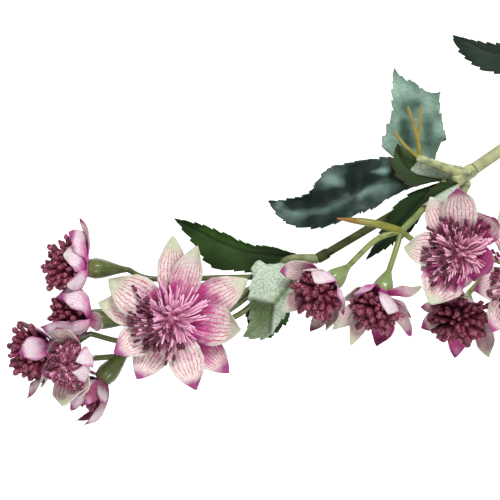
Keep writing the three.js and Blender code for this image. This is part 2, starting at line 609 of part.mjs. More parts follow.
function leafNormal(looks, t, v) {
  const place = Math.min(Math.max(t, STEP), looks.stations.length - 1 - 2 * STEP);
  const inner = v * (1 - 2 * STEP);
  const slope = (a, b) => leafPoint(looks, ...a, 0).sub(leafPoint(looks, ...b, 0));
  const lengthwise = slope([place + STEP, inner], [place - STEP, inner]);
  return lengthwise.cross(slope([place, inner + STEP], [place, inner - STEP])).normalize();
}

function leaf(looks) {
  const places = leafPlaces(looks.stations);
  const rows = places.map((t, i) => {
    const across = i === places.length - 1 ? [0] : [-1, 0, 1];
    return across.map((v) => {
      const tooth = v ? (-1) ** i : 0;
      return { point: leafPoint(looks, t, v, tooth), normal: leafNormal(looks, t, v) };
    });
  });
  return blade(rows);
}

// Assembly

const spray = new THREE.Group();
spray.position.set(-CENTRE[0], -CENTRE[1], -CENTRE[2]);

function piece(name, made, finish) {
  const mesh = new THREE.Mesh(geometryOf(made), new THREE.MeshStandardMaterial(finish));
  mesh.name = name;
  spray.add(mesh);
}

const roots = join([rods(JOINT, GAP), rods(SIDE_STEM, GAP), rods(MAIN_STEM, GAP)]);
const stems = join([roots, ...Object.values(UMBELS).map((cluster) => rods(umbelRods(cluster), GAP))]);

piece("main_stem", rods([...MAIN_STEM, PLUG]), STEM_GREEN);
piece("upper_joint", rods(JOINT).subtract(rods([MAIN_STEM[0], PLUG], GAP)), STEM_GREEN);
piece("side_stem", largest(rods(SIDE_STEM).subtract(rods(JOINT, GAP))), OLIVE);
for (const [name, cluster] of Object.entries(UMBELS)) {
  piece(name, largest(umbel(cluster).subtract(roots)), CUP_GREEN);
}
for (const [name, looks] of Object.entries(LEAVES)) {
  piece(name, largest(leaf(looks).subtract(stems)), looks.finish);
}
for (const [name, bloom] of Object.entries(BLOOMS)) {
  piece(name + "_petals", petalRing(bloom), PETAL);
  piece(name + "_florets", floretHead(bloom), FLORET);
}

export default spray;
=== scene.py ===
from collections import namedtuple
from math import acos, cos, exp, pi, radians, sin, sqrt

import bpy
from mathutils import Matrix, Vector, noise
from mathutils.bvhtree import BVHTree


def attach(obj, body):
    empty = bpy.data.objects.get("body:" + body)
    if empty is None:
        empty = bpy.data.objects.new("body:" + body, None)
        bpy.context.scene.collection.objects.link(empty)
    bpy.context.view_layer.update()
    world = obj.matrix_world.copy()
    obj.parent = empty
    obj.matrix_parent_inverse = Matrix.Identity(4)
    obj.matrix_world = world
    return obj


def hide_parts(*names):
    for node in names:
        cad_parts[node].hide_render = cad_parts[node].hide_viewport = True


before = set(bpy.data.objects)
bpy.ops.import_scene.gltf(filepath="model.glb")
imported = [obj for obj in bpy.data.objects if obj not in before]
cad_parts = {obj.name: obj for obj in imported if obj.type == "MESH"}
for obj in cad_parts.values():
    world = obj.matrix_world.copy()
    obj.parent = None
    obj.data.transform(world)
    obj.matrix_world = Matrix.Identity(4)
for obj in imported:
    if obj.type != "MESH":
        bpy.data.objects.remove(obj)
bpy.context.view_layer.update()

# The spray lies on a table and is seen from above. Sizes and places are in millimetres, as in its solids:
# x runs right, y away and z up, and CENTRE is the middle of its footprint, where the origin is.
MM = 0.001
CENTRE = Vector((42.1, 13.8, 0))
AWAY = Vector((0, 1, 0))
GOLDEN_ANGLE = pi * (3 - sqrt(5))


def placed(point):
    return (point - CENTRE) * MM


def smooth(share):
    share = min(max(share, 0), 1)
    return share * share * (3 - 2 * share)


def blend(rows, t):
    """Smooth blend of a table of rows at place t, counted in rows."""
    k = min(int(t), len(rows) - 2)
    s = t - k
    a, b, c, d = (rows[min(max(i, 0), len(rows) - 1)] for i in (k - 1, k, k + 1, k + 2))
    result = []
    for p, here, there, q in zip(a, b, c, d):
        slope = (there - p) / 2
        next_slope = (q - here) / 2
        bend = 3 * (there - here) - 2 * slope - next_slope
        twist = 2 * (here - there) + slope + next_slope
        result.append(here + slope * s + bend * s * s + twist * s**3)
    return result


def scatter(i, channel):
    """An even scatter from -1 to 1 that is the same every time."""
    wave = sin(12.9898 * (i + 1) + 78.233 * channel) * 43758.5453
    return 2 * (wave % 1) - 1


def rough(point, size, seed=0):
    """Soft noise about as coarse as size."""
    return noise.noise(point / size + Vector((seed, 0, 0)))


def in_scene(name, data):
    """A new object in the scene, at the origin."""
    made = bpy.data.objects.new(name, data)
    bpy.context.scene.collection.objects.link(made)
    return made


# Colours

def colour(red, green, blue):
    """A screen colour, 0 to 255, as light."""
    light = [((c / 255 + 0.055) / 1.055) ** 2.4 if c > 10 else c / 3294.6 for c in (red, green, blue)]
    return (*light, 1)


CREAM = colour(228, 216, 214)
PALE_GREEN = colour(190, 198, 168)
VEIN_CRIMSON = colour(196, 34, 78)
BACK_VEIN = colour(214, 84, 134)
FLUSH = colour(172, 34, 134)
TIP_PURPLE = colour(150, 22, 114)
BACK_WHITE = colour(226, 212, 220)
BACK_VIOLET = colour(186, 44, 146)
WINE_FLUSH = colour(124, 32, 70)
WINE_BACK_VEIN = colour(190, 70, 110)
WINE_BACK = colour(140, 44, 92)


# Node helpers

def put(tree, kind, links=None, **settings):
    """Adds a node with its settings, its inputs given as values or as sockets to link."""
    node = tree.nodes.new(kind)
    for name, value in settings.items():
        setattr(node, name, value)
    for key, value in (links or {}).items():
        if isinstance(value, bpy.types.NodeSocket):
            tree.links.new(value, node.inputs[key])
        else:
            node.inputs[key].default_value = value
    return node


def maths(tree, operation, a, b=0.0, clamp=False):
    return put(tree, "ShaderNodeMath", {0: a, 1: b}, operation=operation, use_clamp=clamp).outputs[0]


def plus(tree, a, b, clamp=False):
    return maths(tree, "ADD", a, b, clamp)


def minus(tree, a, b):
    return maths(tree, "SUBTRACT", a, b)


def times(tree, a, b, clamp=False):
    return maths(tree, "MULTIPLY", a, b, clamp)


def between(tree, value, low, high, to_low=0.0, to_high=1.0):
    """Runs smoothly from to_low, where value is low, to to_high, where it is high."""
    links = {"Value": value, "From Min": low, "From Max": high, "To Min": to_low, "To Max": to_high}
    return put(tree, "ShaderNodeMapRange", links, interpolation_type="SMOOTHSTEP").outputs[0]


def mixed(tree, share, a, b, way="MIX"):
    links = {0: share, 6: a, 7: b}
    return put(tree, "ShaderNodeMix", links, data_type="RGBA", blend_type=way).outputs[2]


def grain(tree, vector, scale, detail=2.0):
    """Noise with scale waves in a metre."""
    return put(tree, "ShaderNodeTexNoise", {"Vector": vector, "Scale": scale, "Detail": detail}).outputs[0]


def attribute(tree, name, output="Fac"):
    return put(tree, "ShaderNodeAttribute", attribute_name=name).outputs[output]


def axis_parts(tree, vector):
    return put(tree, "ShaderNodeSeparateXYZ", {0: vector}).outputs


def axis_whole(tree, x, y, z=0.0):
    return put(tree, "ShaderNodeCombineXYZ", {0: x, 1: y, 2: z}).outputs[0]


def scaled(tree, vector, factor):
    return put(tree, "ShaderNodeVectorMath", {0: vector, "Scale": factor}, operation="SCALE").outputs[0]


def object_place(tree):
    return put(tree, "ShaderNodeTexCoord").outputs["Object"]


def cloth_place(tree):
    """The place on a sheet from 0 to 1, first across it and then along it."""
    return axis_parts(tree, put(tree, "ShaderNodeUVMap").outputs[0])


def group(name, inputs, outputs, kind="ShaderNodeTree"):
    """A node group with its sockets, its input node and its output node."""
    tree = bpy.data.node_groups.new(name, kind)
    for in_out, sockets in (("INPUT", inputs), ("OUTPUT", outputs)):
        for label, socket_type in sockets.items():
            tree.interface.new_socket(label, in_out=in_out, socket_type="NodeSocket" + socket_type)
    return tree, tree.nodes.new("NodeGroupInput").outputs, tree.nodes.new("NodeGroupOutput").inputs


def shade_group(name, inputs):
    """A shader node group that gives a colour and a height."""
    return group(name, inputs, {"Color": "Color", "Height": "Float"})


def material(name, **sockets):
    """A material with a Principled shader, whose even values are set on its own sockets."""
    made = bpy.data.materials.new(name)
    made.use_nodes = True
    tree = made.node_tree
    shader = tree.nodes["Principled BSDF"]
    for label, value in sockets.items():
        shader.inputs[label.replace("_", " ")].default_value = value
    return made, tree, shader


def covered(name, shades, links, relief, strength=1.0, **sockets):
    """A material whose colour and bump, of relief millimetres, come from a shade group."""
    made, tree, shader = material(name, **sockets)
    cover = put(tree, "ShaderNodeGroup", links, node_tree=shades).outputs
    tree.links.new(cover["Color"], shader.inputs["Base Color"])
    rise = {"Height": cover["Height"], "Distance": relief * MM, "Strength": strength}
    tree.links.new(put(tree, "ShaderNodeBump", rise).outputs[0], shader.inputs["Normal"])
    return made


# Cloth of the petals: cream, printed with a net of broken pink veins, dyed at its root and its tip.
# Fades are pairs of places, where a dye starts and where it is full. WAVES count in a metre.

VEINS_ACROSS = 9.0
VEINS_ALONG = 20.0
VEIN_WAVER = 0.9  # in gaps between veins
VEIN_WAVES = 420.0
LONG_VEIN = (0.07, 0.15)  # distance from its line where it is full and where it has faded, in gaps
CROSS_VEIN = 0.62  # strength beside a long vein
CROSS_VEINS = {"Scale": 1.0, "Mortar Size": 0.11, "Mortar Smooth": 0.4, "Brick Width": 2.1, "Row Height": 1.0}
CROSS_VEIN_STAGGER = dict(offset=0.43, squash=1.5, squash_frequency=3)
LOT_SHIFT = 9.0  # how far a petal's net is moved along at most, where a petal is VEINS_ALONG long
BREAK_WAVES = 1100.0
BREAK_FADE = (0.34, 0.5)
VEIN_IN_BREAK = 0.25
VEIN_END_FADE = (0.9, 0.74)
VEIN_SIDE_FADE = (0.95, 0.84)
DYE_CLOUDS = 0.7
DYE_WAVES = 230.0
FLUSH_REACH = 0.85
FLUSH_FADE = (-0.14, 0.34)
PURPLE_FADE = (0.76, 0.92)
GREEN_FADE = (0.62, 0.95)
RIM_FADE = (0.66, 1.0)
RIM_PALENESS = 0.6
DYE_STRENGTH = 0.92
MOTTLE_WAVES = 700.0
MOTTLE = (0.9, 1.03)
FIBRE_WAVES = 2600.0
PETAL_WEAVE = {"Scale": 5.0, "Distortion": 2.0}


def vein_net(tree, place, across_cloth, along_cloth, edge):
    """The veins' strength, and the place on their net."""
    waver = minus(tree, grain(tree, place, VEIN_WAVES), 0.5)
    along = plus(tree, times(tree, along_cloth, VEINS_ALONG), times(tree, attribute(tree, "lot"), LOT_SHIFT))
    across = plus(tree, times(tree, across_cloth, VEINS_ACROSS), times(tree, waver, VEIN_WAVER))
    net_place = axis_whole(tree, along, across)
    links = {"Vector": net_place, **CROSS_VEINS}
    bricks = put(tree, "ShaderNodeTexBrick", links, **CROSS_VEIN_STAGGER)
    long_veins = between(tree, maths(tree, "PINGPONG", across, 0.5), *LONG_VEIN, 1.0, 0.0)
    net = maths(tree, "MAXIMUM", times(tree, bricks.outputs["Fac"], CROSS_VEIN), long_veins)
    broken = between(tree, grain(tree, place, BREAK_WAVES), *BREAK_FADE, VEIN_IN_BREAK, 1.0)
    reach = between(tree, plus(tree, along_cloth, times(tree, waver, 0.3)), *VEIN_END_FADE)
    inside = times(tree, reach, between(tree, edge, *VEIN_SIDE_FADE))
    return times(tree, times(tree, net, broken), inside), net_place


def dyed_ground(tree, given, place, along_cloth, edge):
    """The cloth's colour under its print: flushed from the root, with a purple or green tip and a rim."""
    dye = axis_parts(tree, attribute(tree, "dye", "Vector"))
    cloudy = times(tree, minus(tree, grain(tree, place, DYE_WAVES, 3.0), 0.5), DYE_CLOUDS)
    flush_end = plus(tree, times(tree, dye[0], FLUSH_REACH), cloudy)
    flush = between(tree, minus(tree, flush_end, along_cloth), *FLUSH_FADE)
    tip_place = plus(tree, along_cloth, times(tree, cloudy, 0.3))
    purple = times(tree, between(tree, tip_place, *PURPLE_FADE), dye[1])
    green = times(tree, between(tree, tip_place, *GREEN_FADE), dye[2])
    rim = between(tree, plus(tree, edge, cloudy), *RIM_FADE)
    plain = minus(tree, 1.0, given["Margin"])
    pale = maths(tree, "MAXIMUM", times(tree, times(tree, rim, RIM_PALENESS), plain), green)
    ground = mixed(tree, pale, given["Ground"], PALE_GREEN)
    dyed = maths(tree, "MAXIMUM", times(tree, flush, DYE_STRENGTH), times(tree, rim, given["Margin"]))
    ground = mixed(tree, dyed, ground, given["Flush"])
    return mixed(tree, times(tree, purple, DYE_STRENGTH), ground, TIP_PURPLE)


def petal_print():
    """The attribute dye holds a petal's flush, purple tip and green tip, and lot tells petals apart."""
    sockets = {"Ground": "Color", "Vein": "Color", "Print": "Float", "Flush": "Color", "Margin": "Float"}
    tree, given, result = shade_group("Petal print", sockets)
    place = object_place(tree)
    across_cloth, along_cloth = cloth_place(tree)[:2]
    edge = times(tree, maths(tree, "ABSOLUTE", minus(tree, across_cloth, 0.5)), 2.0)
    veins, net_place = vein_net(tree, place, across_cloth, along_cloth, edge)
    ground = dyed_ground(tree, given, place, along_cloth, edge)
    mottle = between(tree, grain(tree, place, MOTTLE_WAVES, 3.0), 0.3, 0.7, *MOTTLE)
    ground = scaled(tree, ground, mottle)
    shown = times(tree, veins, given["Print"], clamp=True)
    tree.links.new(mixed(tree, shown, ground, given["Vein"]), result["Color"])
    weave = put(tree, "ShaderNodeTexWave", {"Vector": net_place, **PETAL_WEAVE}).outputs["Fac"]
    height = plus(tree, times(tree, weave, 0.25), grain(tree, place, FIBRE_WAVES))
    tree.links.new(minus(tree, height, times(tree, veins, 0.5)), result["Height"])
    return tree


def petal_cloth(name, printed, ground, vein, strength, flush, margin):
    links = {"Ground": ground, "Vein": vein, "Print": strength, "Flush": flush, "Margin": margin}
    return covered(name, printed, links, 0.06, 0.6, Roughness=0.75, Sheen_Weight=0.1, Specular_IOR_Level=0.2,
                   Subsurface_Weight=0.12, Subsurface_Radius=(1.0, 0.6, 0.5), Subsurface_Scale=0.6 * MM)


# Moulded plastic, in two mottled shades, with a soft bump

FINE_GRAINS = 8.0  # across a coarse one
SHADE_FADE = (0.35, 0.75)
TIP_FADE = (0.45, 1.0)  # along a run


def moulded_shades():
    sockets = {"Shade": "Color", "Other shade": "Color", "Grain size": "Float"}
    tree, given, result = shade_group("Moulded shades", sockets)
    place = object_place(tree)
    coarse = grain(tree, place, maths(tree, "DIVIDE", 1.0, given["Grain size"]), 3.0)
    fine = grain(tree, place, maths(tree, "DIVIDE", FINE_GRAINS, given["Grain size"]))
    share = between(tree, plus(tree, times(tree, fine, 0.3), coarse), *SHADE_FADE)
    tree.links.new(mixed(tree, share, given["Shade"], given["Other shade"]), result["Color"])
    tree.links.new(plus(tree, coarse, times(tree, fine, 0.4)), result["Height"])
    return tree


def moulded(name, shades, shade, other, roughness, grain_size=3.0, coat=0.0, tip=None, relief=0.08):
    """tip colours the end of each run, where the attribute along nears 1."""
    links = {"Shade": colour(*shade), "Other shade": colour(*other), "Grain size": grain_size * MM}
    made = covered(name, shades, links, relief, 0.7, Roughness=roughness, Coat_Weight=coat,
                   Coat_Roughness=0.12, Specular_IOR_Level=0.2)
    if tip:
        tree = made.node_tree
        base = tree.nodes["Principled BSDF"].inputs["Base Color"]
        share = between(tree, attribute(tree, "along"), *TIP_FADE)
        tree.links.new(mixed(tree, share, base.links[0].from_socket, colour(*tip)), base)
    return made


# Leaf cloth: a body colour with veins, clouds and a rim, either waxed and smooth or felted

CLOUD_WAVES = 130.0
CLOUD_FADE = (0.36, 0.66)
FELT_WAVES = 1500.0
FELT_FADE = (0.6, 0.36)
WEAVE_WAVES = 3200.0
RIM_FROM = 0.475  # from the middle of a leaf, in its widths


def leaf_shades():
    """The attribute vein is 1 on a leaf's ribs, and shade is painted light: over 0 it lightens the cloth
    towards its cloud colour as a painted highlight, under 0 it darkens it towards its rib colour as painted
    shade.
    """
    sockets = {"Body": "Color", "Cloud and highlight": "Color", "Rib": "Color", "Rim": "Color", "Felt": "Float",
               "Cloudiness": "Float"}
    tree, given, result = shade_group("Leaf shades", sockets)
    place = object_place(tree)
    edge = maths(tree, "ABSOLUTE", minus(tree, cloth_place(tree)[0], 0.5))
    shade = attribute(tree, "shade")
    cloudy = between(tree, grain(tree, place, CLOUD_WAVES, 3.0), *CLOUD_FADE)
    clouds = times(tree, cloudy, given["Cloudiness"])
    # Painted light: shade lightens towards the cloud colour as painted highlight and darkens towards the rib
    # colour as painted shade.
    shown = mixed(tree, plus(tree, clouds, shade, clamp=True), given["Body"], given["Cloud and highlight"])
    shown = mixed(tree, times(tree, shade, -1.0, clamp=True), shown, given["Rib"])
    fibres = grain(tree, place, FELT_WAVES, 4.0)
    speckle = times(tree, between(tree, fibres, *FELT_FADE), given["Felt"])
    shown = mixed(tree, times(tree, speckle, 0.45), shown, given["Rib"], "MULTIPLY")
    shown = mixed(tree, times(tree, attribute(tree, "vein"), 0.8), shown, given["Rib"])
    shown = mixed(tree, between(tree, edge, RIM_FROM, 0.5), shown, given["Rim"])
    tree.links.new(shown, result["Color"])
    weave = grain(tree, place, WEAVE_WAVES)
    height = plus(tree, times(tree, fibres, given["Felt"]), times(tree, weave, 0.5))
    tree.links.new(height, result["Height"])
    return tree


def leaf_cloth(name, shades, body, cloud_and_highlight, rib, rim, roughness, felt=0.0, coat=0.0, cloudiness=0.7):
    links = {"Body": colour(*body), "Cloud and highlight": colour(*cloud_and_highlight), "Rib": colour(*rib), "Rim": colour(*rim),
             "Felt": felt, "Cloudiness": cloudiness}
    return covered(name, shades, links, 0.05, 0.8, Roughness=roughness, Coat_Weight=coat, Coat_Roughness=0.3,
                   Specular_IOR_Level=0.15, Sheen_Weight=0.08 * felt)


# Florets: strands that shade from root to tip, and granular knobs

STREAK_WAVES = 700.0
STREAKS = (-0.35, 0.2)  # how far a streak moves a strand's shade towards its root's or its tip's
OWN_SHADE = 1.1  # how far apart two strands' shades are at most
STRAND_FIBRE_WAVES = 1800.0
PIT_WAVES = 1700.0
PIT_FADE = (0.75, 0.1)
PATCH_WAVES = 330.0
PATCH_FADE = (0.35, 0.7)


def strand_shades():
    """The attribute along runs from root to tip, and lot makes some strands lighter than others."""
    tree, given, result = shade_group("Strand shades", {"Root": "Color", "Tip": "Color"})
    place = object_place(tree)
    streaks = between(tree, grain(tree, place, STREAK_WAVES, 3.0), 0.3, 0.7, *STREAKS)
    own = times(tree, minus(tree, attribute(tree, "lot"), 0.5), OWN_SHADE)
    share = plus(tree, plus(tree, attribute(tree, "along"), streaks), own, clamp=True)
    tree.links.new(mixed(tree, share, given["Root"], given["Tip"]), result["Color"])
    tree.links.new(grain(tree, place, STRAND_FIBRE_WAVES), result["Height"])
    return tree


def strand(name, shades, root, tip):
    links = {"Root": colour(*root), "Tip": colour(*tip)}
    return covered(name, shades, links, 0.05, Roughness=0.5, Specular_IOR_Level=0.25)


def knob_shades():
    """Darker in the pits between its grains, as painted shade, and lighter on the grains, partly as painted
    highlight. The attribute lot makes some knobs lighter than others.
    """
    tree, given, result = shade_group("Knob shades", {"Pits in painted shade": "Color", "Grains with painted highlight": "Color"})
    place = object_place(tree)
    pits = put(tree, "ShaderNodeTexVoronoi", {"Vector": place, "Scale": PIT_WAVES}).outputs["Distance"]
    patches = between(tree, grain(tree, place, PATCH_WAVES), *PATCH_FADE)
    lighter = plus(tree, patches, attribute(tree, "lot"))
    # Painted shade in the pits and painted highlight on the grains, in random patches.
    share = times(tree, times(tree, between(tree, pits, *PIT_FADE), lighter), 0.7, clamp=True)
    tree.links.new(mixed(tree, share, given["Pits in painted shade"], given["Grains with painted highlight"]), result["Color"])
    tree.links.new(times(tree, pits, -1.0), result["Height"])
    return tree


def knob(name, shades, pits, grains, roughness):
    links = {"Pits in painted shade": colour(*pits), "Grains with painted highlight": colour(*grains)}
    return covered(name, shades, links, 0.1, Roughness=roughness, Specular_IOR_Level=0.35)


# What grows along lines. A mesh of edges carries the lines, and a tree gives them their body.

def lines(name, runs):
    """Each run is a list of (point, radius), with the size of the knob at its end."""
    mesh = bpy.data.meshes.new(name)
    points = []
    edges = []
    radii = []
    shares = []
    knobs = []
    aims = []
    lots = []
    for number, (run, knob_size) in enumerate(runs):
        edges += [(len(points) + i, len(points) + i + 1) for i in range(len(run) - 1)]
        for i, (point, radius) in enumerate(run):
            points.append(placed(point))
            radii.append(radius * MM)
            shares.append(i / (len(run) - 1))
            knobs.append(knob_size * MM if i == len(run) - 1 else 0)
            aims.extend((point - run[i - 1][0]).normalized() if i else (0, 0, 1))
            lots.append((number * 0.618) % 1)
    mesh.from_pydata(points, edges, [])
    for label, values in (("radius_here", radii), ("along", shares), ("knob", knobs), ("lot", lots)):
        mesh.attributes.new(label, "FLOAT", "POINT").data.foreach_set("value", values)
    mesh.attributes.new("aim", "FLOAT_VECTOR", "POINT").data.foreach_set("vector", aims)
    return mesh


def named(tree, label, kind="FLOAT"):
    return put(tree, "GeometryNodeInputNamedAttribute", {"Name": label}, data_type=kind).outputs[0]


def shape(tree, kind, **links):
    """The geometry that a Geometry node gives. A name's underscores stand for spaces."""
    links = {label.replace("_", " "): value for label, value in links.items()}
    return put(tree, "GeometryNode" + kind, links).outputs[0]


def ribbed_runs(tree, mesh, sides, ribs, depth):
    """Lines as tubes with soft ribs along them."""
    circle = shape(tree, "CurvePrimitiveCircle", Resolution=sides, Radius=1.0)
    here = put(tree, "GeometryNodeInputPosition").outputs[0]
    axes = axis_parts(tree, here)
    turn = times(tree, maths(tree, "ARCTAN2", axes[1], axes[0]), ribs)
    swell = times(tree, maths(tree, "COSINE", turn), depth)
    profile = shape(tree, "SetPosition", Geometry=circle, Offset=scaled(tree, here, swell))
    path = shape(tree, "MeshToCurve", Mesh=mesh)
    return shape(tree, "CurveToMesh", Curve=path, Profile_Curve=profile, Scale=named(tree, "radius_here"),
                 Fill_Caps=True)


def stem_tree():
    sockets = {"Geometry": "Geometry", "Sides": "Int", "Ribs": "Float", "Rib depth": "Float",
               "Material": "Material"}
    tree, given, result = group("Moulded runs", sockets, {"Geometry": "Geometry"}, "GeometryNodeTree")
    tubes = ribbed_runs(tree, given["Geometry"], given["Sides"], given["Ribs"], given["Rib depth"])
    soft = shape(tree, "SetShadeSmooth", Geometry=tubes)
    whole = shape(tree, "RealizeInstances", Geometry=soft)
    dressed = shape(tree, "SetMaterial", Geometry=whole, Material=given["Material"])
    tree.links.new(dressed, result["Geometry"])
    return tree


KNOB_SIZES = (0.8, 1.15)  # the least and the greatest that are drawn, as shares of a knob's size
LUMP_WAVES = 900.0
STRAND_SIDES = 8
STRAND_RIBS = 3.0
STRAND_RIB_DEPTH = 0.08


def knobs_at_ends(tree, given):
    """Long balls where lines end, with sizes drawn by the seed, turned along their lines and made lumpy."""
    ball = shape(tree, "MeshUVSphere", Segments=9, Rings=7, Radius=1.0)
    size = named(tree, "knob")
    links = {2: KNOB_SIZES[0], 3: KNOB_SIZES[1], "Seed": given["Seed"]}
    drawn = put(tree, "FunctionNodeRandomValue", links, data_type="FLOAT")
    length = times(tree, size, drawn.outputs[1])
    width = times(tree, length, given["Knob slimness"])
    aim = named(tree, "aim", "FLOAT_VECTOR")
    turn = put(tree, "FunctionNodeAlignRotationToVector", {"Vector": aim}, axis="Z").outputs[0]
    chosen = put(tree, "FunctionNodeCompare", {0: size, 1: 0.0}, operation="GREATER_THAN").outputs[0]
    knobs = shape(tree, "InstanceOnPoints", Points=given["Geometry"], Selection=chosen, Instance=ball,
                  Rotation=turn, Scale=axis_whole(tree, width, width, length))
    knobs = shape(tree, "RealizeInstances", Geometry=knobs)
    here = put(tree, "GeometryNodeInputPosition").outputs[0]
    lumps = times(tree, minus(tree, grain(tree, here, LUMP_WAVES, 1.0), 0.5), given["Lumps"])
    outward_here = put(tree, "GeometryNodeInputNormal").outputs[0]
    return shape(tree, "SetPosition", Geometry=knobs, Offset=scaled(tree, outward_here, lumps))


def head_tree():
    """Strands, each with a knob where its line ends, unless the knob's size is 0."""
    sockets = {"Geometry": "Geometry", "Knob slimness": "Float", "Lumps": "Float", "Seed": "Int",
               "Strand": "Material", "Knob": "Material"}
    tree, given, result = group("Floret head", sockets, {"Geometry": "Geometry"}, "GeometryNodeTree")
    strands = ribbed_runs(tree, given["Geometry"], STRAND_SIDES, STRAND_RIBS, STRAND_RIB_DEPTH)
    strands = shape(tree, "SetMaterial", Geometry=strands, Material=given["Strand"])
    knobs = shape(tree, "SetMaterial", Geometry=knobs_at_ends(tree, given), Material=given["Knob"])
    joined = put(tree, "GeometryNodeJoinGeometry")
    tree.links.new(knobs, joined.inputs[0])
    tree.links.new(strands, joined.inputs[0])
    soft = shape(tree, "SetShadeSmooth", Geometry=joined.outputs[0])
    tree.links.new(shape(tree, "RealizeInstances", Geometry=soft), result["Geometry"])
    return tree


def settled(carrier):
    """The plain mesh that a carrier's modifier gives. The carrier goes."""
    bpy.context.view_layer.update()
    made = bpy.data.meshes.new_from_object(carrier.evaluated_get(bpy.context.evaluated_depsgraph_get()))
    bpy.data.objects.remove(carrier)
    return made


def grown(mesh, tree, values):
    """The plain mesh that a tree grows from a mesh of lines."""
    carrier = in_scene(mesh.name + "_lines", mesh)
    modifier = carrier.modifiers.new("Grow", "NODES")
    modifier.node_group = tree
    for item in tree.interface.items_tree:
        if item.in_out == "INPUT" and item.name in values:
            modifier[item.identifier] = values[item.name]
    return settled(carrier)


def piece(name, mesh, slot, *nodes):
    """A finished piece that stands for CAD nodes."""
    made = in_scene(name, mesh)
    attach(made, "root")
    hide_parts(*nodes)


# Thin sheets. A grid's row is a list of corners, and its last row may be a single corner.

def grid_faces(grid, first):
    """A grid's faces as corner numbers from first on, each with the place on the cloth of one corner."""
    faces = []
    for row, next_row in zip(grid, grid[1:]):
        after = first + len(row)
        for j in range(len(row) - 1):
            if len(next_row) > 1:
                face = (first + j, after + j, after + j + 1, first + j + 1)
            else:
                face = (first + j, after, first + j + 1)
            faces.append((face, row[j][1]))
        first = after
    return faces


def sheets(name, grids, materials, finish, thickness, labels):
    """Each corner is (point, uv, values), with one value for each label. finish numbers the material at a
    place on the cloth, and the back takes the next material."""
    mesh = bpy.data.meshes.new(name)
    corners = []
    faces = []
    for grid in grids:
        faces += grid_faces(grid, len(corners))
        for row in grid:
            corners += row
    mesh.from_pydata([placed(corner[0]) for corner in corners], [], [face for face, place in faces])
    uv = mesh.uv_layers.new(name="UVMap")
    for loop in mesh.loops:
        uv.data[loop.index].uv = corners[loop.vertex_index][1]
    for k, label in enumerate(labels):
        values = [corner[2][k] for corner in corners]
        if isinstance(values[0], tuple):
            flat = [number for value in values for number in value]
            mesh.attributes.new(label, "FLOAT_VECTOR", "POINT").data.foreach_set("vector", flat)
        else:
            mesh.attributes.new(label, "FLOAT", "POINT").data.foreach_set("value", values)
    for made in materials:
        mesh.materials.append(made)
    mesh.polygons.foreach_set("material_index", [finish(place) for face, place in faces])
    mesh.polygons.foreach_set("use_smooth", [True] * len(faces))
    carrier = in_scene(name + "_sheet", mesh)
    solid = carrier.modifiers.new("Thickness", "SOLIDIFY")
    solid.thickness = thickness * MM
    solid.offset = 0
    solid.material_offset = 1
    return settled(carrier)


# Camera, floor and light

SCENE_WIDTH = 170  # what the picture spans at the height of the blooms
MIDDLE_HEIGHT = 25
CAMERA_DISTANCE = 1000
FLOOR_SIZE = 6.0  # metres
FLOOR_DROP = 0.0001  # metres under the spray, so that the two never touch


def camera():
    data = bpy.data.cameras.new("camera")
    data.sensor_width = 36
    data.lens = data.sensor_width * CAMERA_DISTANCE / SCENE_WIDTH
    data.clip_end = 20
    made = in_scene("camera", data)
    made.location = placed(Vector((0, 0, MIDDLE_HEIGHT + CAMERA_DISTANCE)))
    bpy.context.scene.camera = made


def floor():
    mesh = bpy.data.meshes.new("floor")
    half = FLOOR_SIZE / 2
    corners = [(-half, -half, 0), (half, -half, 0), (half, half, 0), (-half, half, 0)]
    mesh.from_pydata(corners, [], [(0, 1, 2, 3)])
    made, tree, shader = material("floor", Roughness=0.9, Base_Color=(0.85, 0.85, 0.85, 1),
                                  Emission_Color=(1, 1, 1, 1))
    seen = put(tree, "ShaderNodeLightPath").outputs["Is Camera Ray"]
    tree.links.new(times(tree, seen, 0.9), shader.inputs["Emission Strength"])
    mesh.materials.append(made)
    ground = in_scene("floor", mesh)
    ground.location.z = -FLOOR_DROP


def lamp(name, place, size, watts):
    """A square soft light that looks at the spray. Its place and size are in metres."""
    data = bpy.data.lights.new(name, "AREA")
    data.shape = "SQUARE"
    data.size = size
    data.energy = watts
    made = in_scene(name, data)
    made.location = place
    made.rotation_mode = "QUATERNION"
    made.rotation_quaternion = Vector(place).to_track_quat("Z", "Y")


def daylight(strength):
    world = bpy.data.worlds.new("studio")
    world.use_nodes = True
    background = world.node_tree.nodes["Background"]
    background.inputs["Color"].default_value = (1, 1, 1, 1)
    background.inputs["Strength"].default_value = strength
    bpy.context.scene.world = world
    bpy.context.scene.view_settings.view_transform = "Standard"


camera()
floor()
daylight(0.36)
lamp("key", (0.15, 0.55, 0.75), size=0.25, watts=6.8)
lamp("fill", (0.1, -0.5, 0.9), size=0.6, watts=5.4)

# Blooms. A kind of head has the petals' width at their root, as a share of their full width, and their
# cupping, the head's reach sideways and its height, the height of its middle over the seat, and the angles
# from the axis, narrowest and widest, between which its strands stand.

ROOTS = ((2.7, 0.8), (1.7, 1.9))  # radius and height of the outer and inner layer of petals
PETAL_THICKNESS = 0.28
PETAL_ROWS = 34
PETAL_COLUMNS = 18
OPEN = dict(root=0.3, cupping=0.14, reach=13.5, height=9, middle=3.8, narrowest=6, widest=76)
HALF_OPEN = dict(root=0.45, cupping=0.2, reach=9.2, height=9, middle=5.6, narrowest=0, widest=98)

